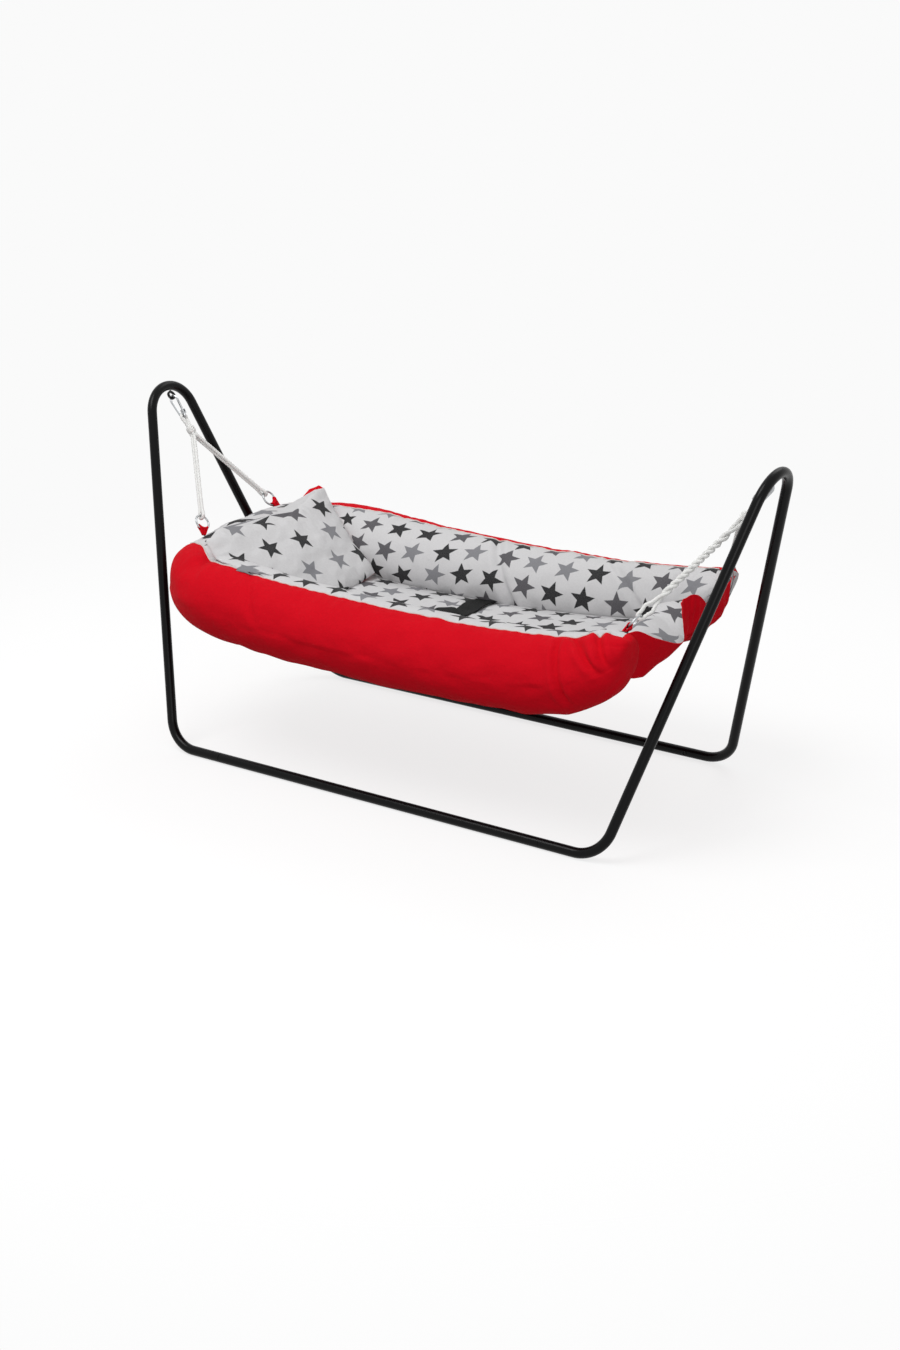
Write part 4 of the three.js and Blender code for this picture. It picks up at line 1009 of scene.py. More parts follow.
def bolster_rows():
    """Bolster's skin: middle line + radius × fullness × (way out × cos + up × sin).

    It is lifted where its ends close, flattened from below, and turned a little about its middle line so that
    the seam's column follows the seam.
    """
    xs, ys, out, fullness, places = bolster_line()
    angle = full_turn(COLUMNS)[None]
    radius = (stuffing_radius(xs)[:, None] + bolster_relief(xs, ys, places, angle)) * fullness[:, None]
    lift = 0.6 * stuffing_radius(xs) * (1 - fullness)
    middle = np.stack([xs, ys, centre_height(xs) + lift], axis=1)
    across = np.concatenate([out, np.zeros((len(out), 1))], axis=1)
    off = (np.degrees(angle) - SEAM_TOP + 180) % 360 - 180
    turned = angle + np.radians(seam_angle(xs, ys) - SEAM_TOP)[:, None] * np.exp(-(off / SEAM_PULL) ** 2)
    head = smooth(-100, -400, xs)[:, None]
    degrees = (np.degrees(turned) + 180) % 360 - 180
    above = smooth(-10, 60, degrees) + smooth(-120, -170, degrees)
    outside = 1 - 0.05 * head * (1 - above) * np.maximum(np.cos(turned), 0)
    roll = HEAD_ROLL * np.exp(-((degrees - HEAD_ROLL_ANGLE) / HEAD_ROLL_SPREAD) ** 2)
    radius = radius + smooth(-370, -HEAD_REACH, xs)[:, None] * roll
    sideways = across[:, None] * (np.cos(turned) * outside)[..., None]
    upwards = np.array([0, 0, 1.0]) * np.sin(turned)[..., None]
    rows = middle[:, None] + radius[..., None] * (sideways + upwards)
    from_below, from_above = (1 - np.sin(turned)) / 2, (1 + np.sin(turned)) / 2
    head_dip = HEAD_DIP * np.exp(-((ys - HEAD_DIP_PLACE) / HEAD_DIP_SPREAD) ** 2)
    rows[..., 2] += (underside_lift(xs) * fullness)[:, None] * from_below
    rows[..., 2] += (TIP_RISE * smooth(405, 470, xs) * (ys < 0))[:, None] * from_above
    rows[..., 2] += (REAR_TIP_LIFT * smooth(415, 490, xs) * (ys > 0))[:, None] * from_below
    rows[..., 2] -= head_dip[:, None] * from_above
    return rows, xs, ys, places, angle[0]


def bolster_mesh(name):
    """Bolster with red cotton outside and print inside, parted at the top seam and low on the inner side."""
    rows, xs, ys, places, angle = bolster_rows()
    full = np.append(angle, 2 * np.pi)
    around = (full[None] - np.radians(SEAM_TOP)) * stuffing_radius(xs)[:, None]
    along = places - places[len(places) // 2] + PRINT_ALONG + FRONT_PRINT_ALONG * smooth(0, -ARM_HALF, ys)
    rear = smooth(-ARM_HALF, ARM_HALF, ys)
    start = PRINT_ROUND + rear * (REAR_PRINT_ROUND + REAR_HEAD_PRINT_ROUND * smooth(20, -240, xs))
    uv = np.stack([along[:, None] + 0 * around, around + start[:, None]], axis=-1)
    degrees = np.degrees(angle) + 180 / COLUMNS
    low = 176 + np.degrees(np.arcsin(sine_below(xs, base_depth(xs))))
    bands = (degrees > SEAM_TOP)[None] & (degrees[None] < low[:, None]) & (xs < ARM_END - 14)[:, None]
    turned_back = (degrees < 34) | ((degrees > 62) & (degrees < 345))
    bands |= turned_back[None] & ((ys > 0) & (xs > 466))[:, None]
    return lay_mesh(name, rows, around=True, closed_ends=True, uv=uv, bands=bands)


def piping_mesh(name):
    """Piping: a thin tube that follows the bolster's top seam from tip to tip, half sunk into it."""
    rows = bolster_rows()[0]
    column = int(round(SEAM_TOP / 360 * COLUMNS))
    middle = rows.mean(axis=1)
    outward = unit(rows[:, column] - middle)
    line = (rows[:, column] + 0.2 * outward)[PIPING_FROM:-PIPING_FROM]
    line, places = evenly(line, 2.5)
    radius = bpy.context.scene.cradle_sizes.piping / MM / 2
    angles = full_turn(14)
    frames = path_frames(line, np.array([0, 0, 1.0]))
    rows = tube_rows(line, frames, radius * (1 + 0.05 * ripple(6, places, places * 0, 14))[:, None], angles)
    uv = np.stack(np.meshgrid(places, np.append(angles, 2 * np.pi) * radius, indexing="ij"), axis=-1)
    return lay_mesh(name, rows, around=True, closed_ends=True, uv=uv)


# Gap to the bolster, how far the mattress's edge lies below the arms' middle line, and the rise of its middle
SOFT_GAP = 1.9
EDGE_DROP = 14
CROWN = 14
# Where the belt crosses the nest
BELT_REACH = 20
# Mattress and cloth base: where they end at the foot, and where the base starts from the head's middle line
MATTRESS_END, BASE_END = 496, 500
BASE_START = 42
# Roundness of the head end in plan and of the mattress's foot edge, and the base's corners and thickness
NEST_ROUND, FOOT_ROUND = 42, 12
BASE_CORNER = 80
BASE_CLOTH = 1.4
# Place of the print on the mattress
MATTRESS_PRINT = np.array([9.0, 31.0])


def sine_below(x, depth):
    """Sine of the angle at which the flattened bolster's side lies this depth below its middle line."""
    lift = underside_lift(x)
    return np.minimum((depth + lift / 2) / (stuffing_radius(x) - lift / 2), STEEPEST)


def room_between_arms(x, depth):
    """Half width left between the flattened arms at a depth below their middle line."""
    return ARM_HALF - stuffing_radius(x) * np.sqrt(1 - sine_below(x, depth) ** 2) - SOFT_GAP


def base_depth(x):
    """Depth of the nest's cloth base below the arms' middle line: it rises towards the foot end."""
    radius = stuffing_radius(x)
    return np.minimum(0.7 * radius * (1 - 0.6 * smooth(250, 470, x)), radius - underside_lift(x) - 13)


def mattress_top(x, y):
    """Height of the mattress: the sag, a crown across it, and the dent under the belt between two puffs."""
    half = room_between_arms(x, EDGE_DROP)
    share = np.clip(y / half, -1, 1)
    dent = 9 * np.exp(-((x - BELT_REACH) / 23) ** 2) * (1 - 0.6 * share ** 2)
    return centre_height(x) - EDGE_DROP + CROWN * (1 - share ** 2) - dent


def mattress_puff(x, y):
    """Small relief of the mattress's top: soft stuffing and drag folds that run out from the belt."""
    edge = 1 - smooth(0.72, 1.0, np.abs(y) / room_between_arms(x, EDGE_DROP))
    folds = 1.8 * np.sin((y + 0.35 * (x - BELT_REACH)) / 8.5 + ripple(21, x, y, 90) * 2)
    near_belt = np.exp(-((np.abs(x - BELT_REACH) - 42) / 26) ** 2)
    return edge * (folds * near_belt + 1.5 * ripple(22, x, y, 75) + 0.5 * ripple(23, x, y, 26))


def drawn_to_collar(x, y, last):
    """Place and height of the cloth base, drawn at its foot end onto the line where the collar is sewn."""
    sewn = np.array(COLLAR_BASE, float)
    end = smooth(440, last, x)
    low = centre_height(x) - base_depth(x)
    return (x + (np.interp(y, sewn[:, 1], sewn[:, 0]) - last) * end,
            low + (np.interp(y, sewn[:, 1], sewn[:, 2]) - low) * end)


def mattress_mesh(name):
    """Mattress: at each place along it a section with a crowned top, rounded sides and a flat underside."""
    start, edge = -HEAD_REACH + FULLEST + SOFT_GAP, MATTRESS_END - FOOT_ROUND
    x = np.concatenate([
        start + NEST_ROUND * (1 - np.cos(np.linspace(0.12, 1, 14) * np.pi / 2)),
        np.arange(start + NEST_ROUND + 4, edge, 4.0),
        edge + FOOT_ROUND * np.sin(np.linspace(0, 1, 9) * np.pi / 2)])[:, None]
    into = np.minimum(NEST_ROUND, x - start)
    trim = NEST_ROUND - np.sqrt(NEST_ROUND ** 2 - (NEST_ROUND - into) ** 2)
    end_drop = FOOT_ROUND - np.sqrt(np.maximum(0, FOOT_ROUND ** 2 - np.maximum(0, x - edge) ** 2))
    share = np.linspace(1, -1, 81)[None]
    half = room_between_arms(x, EDGE_DROP) - trim
    top_y = half * share
    top = mattress_top(x, top_y) + mattress_puff(x, top_y) - end_drop
    depth = np.maximum(base_depth(x) - 0.3 - end_drop, EDGE_DROP + 3)
    down = np.linspace(0, 1, 12)[None, 1:]
    side_depth = EDGE_DROP + (depth - EDGE_DROP) * down
    side_y = room_between_arms(x, side_depth) - trim - 2.0 * (1 - np.sin(np.pi * down))
    side_z = centre_height(x) - side_depth
    low_y = side_y[:, -1:] * np.linspace(1, -1, 22)[None, 1:-1]
    low_z = side_z[:, -1:] + 0 * low_y
    y = np.concatenate([top_y, -side_y, -low_y, side_y[:, ::-1]], axis=1)
    y = y * (1 + 0.06 * smooth(425, 480, x) * smooth(60, 120, np.abs(y)))
    z = np.concatenate([top, side_z, low_z, side_z[:, ::-1]], axis=1)
    along, base = drawn_to_collar(x, y, MATTRESS_END)
    rows = np.stack([along - 4 * smooth(440, MATTRESS_END, x), y, np.maximum(z, base + 0.4)], axis=-1)
    step = np.linalg.norm(np.diff(np.concatenate([rows, rows[:, :1]], axis=1), axis=1), axis=-1)
    across = np.concatenate([np.zeros((len(rows), 1)), np.cumsum(step, axis=1)], axis=1)
    middle = share.size // 2
    across -= across[:, middle:middle + 1]
    uv = np.stack([x + 0 * across, across], axis=-1) + MATTRESS_PRINT
    return lay_mesh(name, rows, around=True, closed_ends=True, uv=uv)


def base_mesh(name):
    """Cloth under the nest: a thin sheet that sags with it, puckered where it is sewn to the bolster."""
    start = -HEAD_REACH + BASE_START
    x = np.concatenate([start + NEST_ROUND * (1 - np.cos(np.linspace(0.1, 1, 12) * np.pi / 2)),
                        np.linspace(start + NEST_ROUND + 6, BASE_END, 150)])[:, None]
    trim = BASE_CORNER - np.sqrt(BASE_CORNER ** 2 - np.maximum(0, BASE_CORNER - (x - start)) ** 2)
    depth = base_depth(x)
    half = room_between_arms(x, depth) + SOFT_GAP + 3 - trim
    share = np.linspace(-1, 1, 61)[None]
    y = half * share * (1.012 + 0.08 * smooth(385, 480, x))
    edge = smooth(0.8, 1.0, np.abs(share))
    uneven = ripple(31, x, y, 70) * (1 - edge) + ripple(32, x, y * 0.2, 13) * edge
    hang = -2.6 * (1 - share ** 4) + 0.9 * uneven
    along, level = drawn_to_collar(x, y, BASE_END)
    free = smooth(BASE_END, BASE_END - 30, x)
    top = np.stack([along + 2 * (1 - free), y, level + (np.minimum(hang, 0.4) - 0.6) * free], axis=-1)
    under = top[:, ::-1] - [0, 0, BASE_CLOTH]
    rows = np.concatenate([top, under], axis=1)
    uv = np.stack([rows[..., 0], rows[..., 1]], axis=-1)
    uv = np.concatenate([uv, uv[:, :1]], axis=1)
    return lay_mesh(name, rows, around=True, closed_ends=True, uv=uv, sharp=60)


# Foot collar, as its rim and its base, each from the front arm's end to the rear arm's
COLLAR_RIM = [
    (500, -212, 410), (512, -190, 412), (528, -150, 391), (543, -80, 365), (536, -66, 386), (522, -45, 402),
    (507, -18, 407), (494, 8, 406), (490, 28, 404), (494, 42, 407), (501, 56, 405), (506, 70, 393),
    (508, 88, 372), (503, 112, 376), (505, 145, 390), (506, 172, 398), (498, 196, 402), (486, 210, 408)]
COLLAR_BASE = [
    (484, -178, 322), (491, -165, 317), (500, -143, 315), (503, -120, 323), (508, -95, 334), (504, -70, 338),
    (499, -40, 338), (494, -12, 337), (493, 8, 335), (493, 28, 334), (492, 48, 332), (490, 72, 329),
    (488, 100, 325), (488, 128, 324), (489, 150, 325), (493, 170, 333), (488, 186, 338), (478, 196, 340)]
COLLAR_CLOTH = 1.6
COLLAR_STEPS = 40
# The turned-over front half of the rim: how far its inner face rolls in, and the height that it rolls up to
ROLL_IN, ROLL_TOP = 52, 418


def collar_mesh(name):
    """Collar: lines from its base to its rim that belly outwards in soft folds, with a second face behind."""
    rim, base = through(COLLAR_RIM, 18), through(COLLAR_BASE, 18)
    rise = np.linspace(0, 1, COLLAR_STEPS)[None, :, None]
    middle = base[:, None] + (rim - base)[:, None] * rise
    outward = unit(np.cross(unit(np.gradient(middle, axis=0)), unit(np.gradient(middle, axis=1))))
    share = np.linspace(0, 1, len(rim))[:, None]
    height = rise[0, :, 0][None]
    folds = 1.1 * np.sin(share * 92 + 2.2 * np.sin(share * 21) + height * 3.0) * np.sin(np.pi * height) ** 0.7
    belly = (3.5 + 1.5 * np.sin(share * 30 + height * 2)) * np.sin(np.pi * height)
    face = middle + outward * (folds + belly + 1.2 * ripple(41, share * 500, height * 100, 50))[..., None]
    inner = face - outward * COLLAR_CLOTH / 2
    roll = smooth(0.03, 0.12, share) * smooth(0.5, 0.34, share) * np.sin(np.pi * height ** 1.6) ** 0.7
    inner[..., 0] -= ROLL_IN * roll
    inner[..., 2] += np.maximum(ROLL_TOP - rim[:, None, 2], 0) * roll
    rows = np.concatenate([face + outward * COLLAR_CLOTH / 2, inner[:, ::-1]], axis=1)
    bands = (np.arange(rows.shape[1]) >= COLLAR_STEPS).astype(int)
    bands[-1] = 0
    return lay_mesh(name, rows, around=True, closed_ends=True, uv=flat_uv(rows), bands=bands, sharp=60)


def clear_of_bolster(points, gap):
    """Points of a surface moved straight out of the bolster, to the given gap from its round."""
    xs, ys, _, _, _ = bolster_line()
    line = np.stack([xs, ys, centre_height(xs)], axis=1)[::3]
    flat = points.reshape(-1, 3)
    nearest = line[((flat[:, None] - line[None]) ** 2).sum(axis=-1).argmin(axis=1)]
    off = flat - nearest
    reach = np.linalg.norm(off, axis=1, keepdims=True)
    least = stuffing_radius(nearest[:, :1]) + gap
    return (nearest + off / reach * np.maximum(reach, least)).reshape(points.shape)


# Pillow's outline in its own plane: across and up from its middle
PILLOW_HEIGHTS = (-125, -84, -35, 31, 105)
PILLOW_LEFT = (188, 214, 223, 219, 203)
PILLOW_RIGHT = (118, 133, 147, 169, 188)
PILLOW_TOP_PLACES = (-188, -152, -90, -30, 27, 111, 160, 189)
PILLOW_TOP = (92, 104, 88, 69, 66, 79, 93, 88)
PILLOW_MIDDLE = np.array([-343.4, -12, 376.4])
# Degrees: its slope, its turn in its own plane, and the tilt of its print
PILLOW_SLOPE, PILLOW_TURN, PRINT_TILT = 42, 3, 6.8
PILLOW_PRINT = (10.7, 99.75)
# Thickness at its seam, and the stuffing in front of it and behind it
PILLOW_EDGE, FRONT_STUFFING, BACK_STUFFING = 1.6, 62, 58
# How far the back rolls up over the top seam on its rear side
BACK_ROLL = 30
# Gaps of the front and the back to the bolster
FRONT_GAP, BACK_GAP = 3.0, 1.2


def pillow_mesh(name):
    """Pillow: two crowned faces that meet in a seam, with puckered edges and drawn-in corners.

    Its sides lie over the arms, and its back rolls up behind the top seam.
    """
    v, u = np.linspace(0, 1, 74), np.linspace(-1, 1, 91)
    v = (0.35 * (1 - np.cos(v * np.pi)) / 2 + 0.65 * v)[:, None]
    u = (0.35 * np.sin(u * np.pi / 2) + 0.65 * u)[None]
    full_v, full_u = np.sin(np.pi * v), np.cos(np.pi / 2 * u)
    fullness = np.maximum(full_v * full_u, 0) ** 0.46
    level = PILLOW_HEIGHTS[0] + (PILLOW_HEIGHTS[-1] - PILLOW_HEIGHTS[0]) * v
    left, right = (np.interp(level, PILLOW_HEIGHTS, side) for side in (PILLOW_LEFT, PILLOW_RIGHT))
    y = u * np.where(u < 0, left, right) * (1 - 0.03 * full_v)
    low = PILLOW_HEIGHTS[0] - 6 * (1 - u * u)
    rise = low + (np.interp(y, PILLOW_TOP_PLACES, PILLOW_TOP) - low) * v
    edge = 1 - smooth(0, 0.45, np.minimum(full_v, full_u))
    along_edge = np.where(full_u < full_v, rise, y)
    pucker = 3.4 * edge * np.sqrt(fullness) * np.sin(along_edge / 6.5 + ripple(51, y, rise, 80) * 2.4)
    corner = np.exp(-((1 - np.abs(u)) ** 2 + (1 - np.abs(2 * v - 1)) ** 2) / 0.16)
    drawn = 2.6 * corner * np.sin(np.arctan2(rise, y) * 26)
    soft = 2.6 * ripple(52, y, rise, 95) + 1.2 * ripple(54, y, rise, 38)
    relief = (soft + pucker + drawn) * np.sqrt(fullness)
    bend = 14 * smooth(0.4, 0, v) + 6 * smooth(0.7, 1, v)
    front = (PILLOW_EDGE + FRONT_STUFFING * fullness) / 2 + relief + bend
    back = -((PILLOW_EDGE + BACK_STUFFING * fullness) / 2 + 1.5 * ripple(53, y, rise, 60) * fullness) + bend
    roll = BACK_ROLL * np.sin(np.pi * np.clip((v - 0.78) / 0.22, 0, 1)) * smooth(0.05, 0.35, u)
    upper = np.stack([y + 0 * v, rise + 0 * u, front], axis=-1)
    lower = np.stack([y + 0 * v, rise + roll, back], axis=-1)
    slope, turn, tilt = np.radians([PILLOW_SLOPE, PILLOW_TURN, PRINT_TILT])
    up = np.array([-np.cos(slope), 0, np.sin(slope)])
    face = np.array([np.sin(slope), 0, np.cos(slope)])
    axes = np.stack([np.cross(up, face), up, face])
    spin = np.array([[np.cos(turn), np.sin(turn), 0], [-np.sin(turn), np.cos(turn), 0], [0, 0, 1]])
    placed = [clear_of_bolster(side @ spin @ axes + PILLOW_MIDDLE, gap)
              for side, gap in ((upper, FRONT_GAP), (lower, BACK_GAP))]
    rows = np.concatenate([placed[0], placed[1][:, ::-1]], axis=1)
    flat = np.concatenate([upper, lower[:, ::-1]], axis=1)[..., :2]
    tilted = flat @ np.array([[np.cos(tilt), np.sin(tilt)], [-np.sin(tilt), np.cos(tilt)]])
    uv = tilted * [1, -1] + PILLOW_PRINT
    uv = np.concatenate([uv, uv[:, :1]], axis=1)
    bands = (np.arange(rows.shape[1]) >= u.size).astype(int)
    bands[u.size - 1] = 1
    bands[-9:] = 0
    return lay_mesh(name, rows, around=True, closed_ends=True, uv=uv, bands=bands, sharp=75)


# Belt

BELT_HALF_WIDTH = 21
BELT_THICKNESS = 1.9
# Length of a half's rounded end, and how much higher the front half's end lies, over the rear one
BELT_ROUND = 12
OVERLAP_LIFT = 3.3
BELT_SEWN = float(room_between_arms(BELT_REACH, EDGE_DROP) - SOFT_GAP)
BELT_ROUTES = {
    "rear": [(6, BELT_SEWN), (10, 90), (20, 40), (24, 3)],
    "front": [(44, -BELT_SEWN), (38, -80), (22, -30), (-10, 14)],
}


def belt_mesh(name, rail):
    """Belt half: a strip along its route over the mattress, rounded at its free end and thin at its edges."""
    route = through(BELT_ROUTES[rail], 30)
    line, places = evenly(route, 2.0)
    tangent = unit(np.gradient(line, axis=0))
    across = np.stack([-tangent[:, 1], tangent[:, 0]], axis=1)
    share = np.linspace(-1, 1, 33)[None]
    into_end = np.maximum(0, places - places[-1] + BELT_ROUND)
    round_end = np.sqrt(np.clip(1 - (into_end / (BELT_ROUND + 0.4)) ** 2, 0, 1))
    half = BELT_HALF_WIDTH * (0.55 + 0.45 * round_end)[:, None]
    spot = line[:, None] + (share * half)[..., None] * across[:, None]
    tops = mattress_top(spot[..., 0], spot[..., 1])
    crest = tops.max(axis=1)
    lift = smooth(-75, -45, line[:, 1]) * OVERLAP_LIFT if rail == "front" else 0 * line[:, 1]
    level = (crest + 0.5 + lift)[:, None]
    bow = 0.9 * share ** 2 + 0.5 * ripple(61, spot[..., 0], spot[..., 1], 40)
    thickness = BELT_THICKNESS * (1 - 0.35 * np.abs(share) ** 8)
    low = np.concatenate([spot, (level + bow * 0.5)[..., None]], axis=-1)
    high = np.concatenate([spot, (level + bow * 0.5 + thickness)[..., None]], axis=-1)
    rows = np.concatenate([high, low[:, ::-1]], axis=1)
    local = np.stack([places[:, None] + 0 * share, share * half + 0 * places[:, None]], axis=-1)
    uv = np.concatenate([local, local[:, ::-1], local[:, :1]], axis=1)
    return lay_mesh(name, rows, around=True, closed_ends=True, uv=uv, sharp=60)


# Stage

# Camera: lens in mm, and the place and the ways right, up and back of the view, in metres
LENS = 52.34
CAMERA_PLACE = (1.97321, -2.93336, 1.49699)
CAMERA_AXES = (
    (0.83323118, 0.55279484, -0.01198621), (-0.18460094, 0.29855341, 0.93636977),
    (0.5211989, -0.77799983, 0.35081046))
# Floor: half its side and its depth below the stand in millimetres, its colour's share under the lamps and
# its own glow to the camera, and the distances in metres over which it fades into the backdrop
FLOOR_HALF, FLOOR_DROP = 6000, 0.5
FLOOR_SHARE = 0.27
FLOOR_GLOW = 0.79
FLOOR_FADE = (0.9, 2.2)
# Lamps: name, place, diameter in metres and watts; they shine at a point this high
LAMPS = (
    ("key light", (-0.9, -1.7, 3.7), 2.2, 74), ("fill light", (2.6, -3.0, 1.1), 2.0, 30),
    ("rear light", (0.2, 2.4, 3.2), 2.2, 22))
LAMP_TARGET = [0, 0, 0.3]
SOFT_LIGHT = 0.5


def placed_axes(place, right, up, back):
    """Matrix of an object at a place that looks against its way back."""
    return Matrix.Translation(place) @ Matrix((right, up, back)).transposed().to_4x4()


def seen_by_camera(tree):
    """1 for what the camera sees straight, in gloss or through glass, and 0 for the light on the cradle."""
    path = tree.nodes.new("ShaderNodeLightPath").outputs
    mirrored = math(tree, "MAXIMUM", path["Is Glossy Ray"], path["Is Transmission Ray"])
    return math(tree, "MAXIMUM", path["Is Camera Ray"], mirrored)


# Operators


class CRADLE_OT_camera(bpy.types.Operator):
    """Add the camera at the photograph's viewing angle"""
    bl_idname = "cradle.camera"
    bl_label = "Camera"

    def execute(self, context):
        camera = bpy.data.objects.new("camera", bpy.data.cameras.new("camera"))
        context.scene.collection.objects.link(camera)
        camera.data.lens = LENS
        camera.matrix_world = placed_axes(CAMERA_PLACE, *CAMERA_AXES)
        context.scene.camera = camera
        return {"FINISHED"}


class CRADLE_OT_ropes(bpy.types.Operator):
    """Make the rope eyes, the doubled ropes and the whippings that bind them"""
    bl_idname = "cradle.ropes"
    bl_label = "Ropes"

    def execute(self, context):
        for end, side in ENDS:
            across = hanging_line(end, side)[2]
            self.lay_rope(f"{end}_rope_eye", eye_path(end, side), across)
            for rail, rail_side in RAILS:
                wire = ring_frame(end, side, rail_side)[5]
                self.lay_rope(f"{end}_{rail}_rope", rope_path(end, side, rail_side), wire)
            node = f"{end}_rope_whipping"
            mesh = whipping_mesh(node, end, side)
            add_piece(f"{node}_finish", mesh, "cradle", [node], "rope", finish("rope"))
        return {"FINISHED"}

    def lay_rope(self, node, path, reference):
        """Rope along a path."""
        mesh = rope_mesh(node, path, reference)
        piece = add_piece(f"{node}_finish", mesh, "cradle", [node], "rope", finish("rope"))


class CRADLE_OT_stand(bpy.types.Operator):
    """Make the hoops, rails and joint screws, and finish the lugs"""
    bl_idname = "cradle.stand"
    bl_label = "Stand"

    def execute(self, context):
        paint = finish("paint")
        for end, side in ENDS:
            node = f"{end}_hoop"
            add_piece(f"{node}_finish", hoop_mesh(node, side), "stand", [node], "black_tube", paint)
            dress_node(f"{end}_lug", paint, 0.0006)
            for rail, rail_side in RAILS:
                node = f"{rail}_{end}_joint_screw"
                mesh = screw_mesh(node, side, rail_side)
                add_piece(f"{node}_finish", mesh, "stand", [node], "black_tube", paint)
        for rail, rail_side in RAILS:
            node = f"{rail}_floor_rail"
            add_piece(f"{node}_finish", rail_mesh(node, rail_side), "stand", [node], "black_tube", paint)
        return {"FINISHED"}


class CRADLE_OT_hardware(bpy.types.Operator):
    """Finish the snap hooks, their gates and rivets, and make the rings"""
    bl_idname = "cradle.hardware"
    bl_label = "Hooks and rings"

    def execute(self, context):
        zinc = finish("zinc")
        for end, side in ENDS:
            for node in (f"{end}_snap_hook", f"{end}_snap_gate", f"{end}_gate_rivet"):
                dress_node(node, zinc, 0.0002)
            for rail, rail_side in RAILS:
                node = f"{end}_{rail}_ring"
                mesh = ring_mesh(node, end, side, rail_side)
                add_piece(f"{node}_finish", mesh, "cradle", [node], "zinc", zinc)
        return {"FINISHED"}


class CRADLE_OT_nest(bpy.types.Operator):
    """Make the stuffed bolster with its piping, the mattress and the cloths below and at the foot end"""
    bl_idname = "cradle.nest"
    bl_label = "Nest"

    def execute(self, context):
        red, stars = finish("red"), finish("stars")
        bolster = add_piece(
            "bolster_padding", bolster_mesh("bolster"), "cradle", ["side_bolster"], "red_cotton", red, stars)
        add_piece("bolster_piping", piping_mesh("piping"), "cradle", [], "red_cotton", finish("piping"))
        mattress = add_piece(
            "mattress_padding", mattress_mesh("mattress"), "cradle", ["mattress"], "star_cotton", stars)
        base = add_piece("base_cloth", base_mesh("base"), "cradle", ["base_cover"], "red_cotton", red)
        collar = add_piece(
            "collar_cloth", collar_mesh("collar"), "cradle", ["foot_collar"], "red_cotton", red, stars)
        for end, side in ENDS:
            for rail, rail_side in RAILS:
                node = f"{end}_{rail}_tab"
                mesh = tab_mesh(node, end, side, rail_side)
                add_piece(f"{node}_cloth", mesh, "cradle", [node], "red_cotton", red)
        return {"FINISHED"}


class CRADLE_OT_pillow(bpy.types.Operator):
    """Make the pillow"""
    bl_idname = "cradle.pillow"
    bl_label = "Pillow"

    def execute(self, context):
        pillow = add_piece("pillow_padding", pillow_mesh("pillow"), "pillow", ["pillow"], "star_cotton",
                           finish("pillow stars"), finish("red"))
        return {"FINISHED"}


class CRADLE_OT_belt(bpy.types.Operator):
    """Make the two halves of the belt"""
    bl_idname = "cradle.belt"
    bl_label = "Belt"

    def execute(self, context):
        for rail, _ in RAILS:
            mesh = belt_mesh(f"{rail}_belt", rail)
            add_piece(f"{rail}_belt_webbing", mesh, f"{rail}_belt", [f"{rail}_belt_half"], "black_webbing",
                      finish("webbing"))
        return {"FINISHED"}


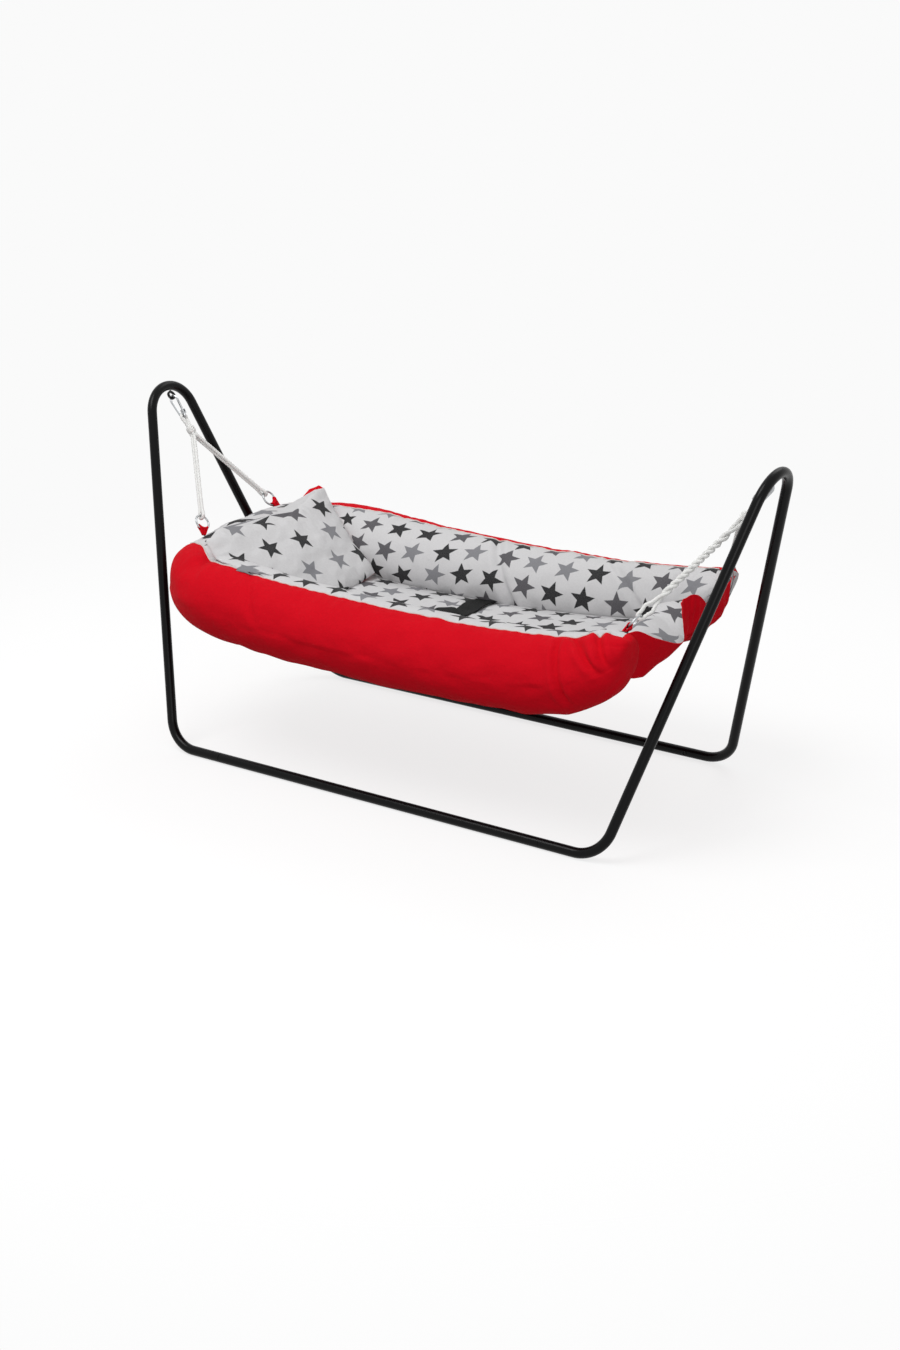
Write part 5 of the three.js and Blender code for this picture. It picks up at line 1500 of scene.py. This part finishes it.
class CRADLE_OT_stage(bpy.types.Operator):
    """Lay the pale floor and set the soft studio light"""
    bl_idname = "cradle.stage"
    bl_label = "Stage"

    def execute(self, context):
        reach = np.array([-FLOOR_HALF, FLOOR_HALF], float)
        x, y = np.meshgrid(reach, reach, indexing="ij")
        mesh = lay_mesh("floor", np.stack([x, y, 0 * x - FLOOR_DROP], axis=-1))
        floor = bpy.data.objects.new("floor", mesh)
        context.scene.collection.objects.link(floor)
        floor.data.materials.append(self.pale_floor())
        self.light_world(context)
        for lamp in LAMPS:
            self.add_lamp(context, *lamp)
        context.scene.view_settings.view_transform = "Standard"
        return {"FINISHED"}

    def pale_floor(self):
        """Pale matt floor that fades into the backdrop away from the cradle."""
        material, tree, shader, place = start_material("pale studio floor")
        floor = bpy.context.scene.cradle_colours.floor
        fill_sockets(tree, shader, {
            "Base Color": tuple(c * FLOOR_SHARE for c in floor),
            "Roughness": 0.9, "Specular IOR Level": 0.0,
            "Emission Color": tuple(floor),
            "Emission Strength": math(tree, "MULTIPLY", seen_by_camera(tree), FLOOR_GLOW)})
        distance = add_node(tree, "ShaderNodeVectorMath", {0: place}, operation="LENGTH").outputs["Value"]
        values = {0: distance, 1: FLOOR_FADE[0], 2: FLOOR_FADE[1], 3: 0.0, 4: 1.0}
        fade = add_node(tree, "ShaderNodeMapRange", values, interpolation_type="SMOOTHSTEP").outputs[0]
        clear = tree.nodes.new("ShaderNodeBsdfTransparent").outputs[0]
        blend = add_node(tree, "ShaderNodeMixShader", {0: fade, 1: shader.outputs[0], 2: clear})
        tree.links.new(blend.outputs[0], tree.nodes["Material Output"].inputs[0])
        return material

    def light_world(self, context):
        """White surroundings to the camera and in reflections, and a softer light on the cradle."""
        world = bpy.data.worlds.new("studio")
        context.scene.world = world
        world.use_nodes = True
        tree = world.node_tree
        seen = seen_by_camera(tree)
        floor = tuple(context.scene.cradle_colours.floor)
        soft, white = (
            add_node(tree, "ShaderNodeBackground", {"Color": tint, "Strength": strength}).outputs[0]
            for tint, strength in (((1, 1, 1), SOFT_LIGHT), (floor, 1.0)))
        blend = add_node(tree, "ShaderNodeMixShader", {0: seen, 1: soft, 2: white})
        tree.links.new(blend.outputs[0], tree.nodes["World Output"].inputs[0])

    def add_lamp(self, context, name, place, size, watts):
        """Round soft lamp that shines at the cradle."""
        lamp = bpy.data.objects.new(name, bpy.data.lights.new(name, "AREA"))
        lamp.data.shape = "DISK"
        lamp.data.size = size
        lamp.data.energy = watts
        back = unit(np.array(place) - LAMP_TARGET)
        right = unit(np.cross([0, 0, 1.0], back))
        lamp.matrix_world = placed_axes(place, right, np.cross(back, right), back)
        context.scene.collection.objects.link(lamp)


class CRADLE_PT_panel(bpy.types.Panel):
    """Panel that makes the cradle piece by piece"""
    bl_label = "Hanging Baby Cradle"
    bl_idname = "CRADLE_PT_panel"
    bl_space_type = "VIEW_3D"
    bl_region_type = "UI"
    bl_category = "Cradle"

    def draw(self, context):
        for group in (context.scene.cradle_sizes, context.scene.cradle_colours):
            for name in group.__annotations__:
                self.layout.prop(group, name)
        for operator in OPERATORS:
            self.layout.operator(operator.bl_idname)


OPERATORS = (CRADLE_OT_camera, CRADLE_OT_ropes, CRADLE_OT_stand, CRADLE_OT_hardware, CRADLE_OT_nest,
             CRADLE_OT_pillow, CRADLE_OT_belt, CRADLE_OT_stage)
CLASSES = (CradleSizes, CradleColours, *OPERATORS, CRADLE_PT_panel)


def register():
    for cls in CLASSES:
        bpy.utils.register_class(cls)
    bpy.types.Scene.cradle_sizes = bpy.props.PointerProperty(type=CradleSizes)
    bpy.types.Scene.cradle_colours = bpy.props.PointerProperty(type=CradleColours)


def unregister():
    del bpy.types.Scene.cradle_sizes
    del bpy.types.Scene.cradle_colours
    for cls in reversed(CLASSES):
        bpy.utils.unregister_class(cls)


def main():
    """Makes every piece in order."""
    register()
    for operator in OPERATORS:
        group, name = operator.bl_idname.split(".")
        getattr(getattr(bpy.ops, group), name)()


if __name__ == "__main__":
    main()
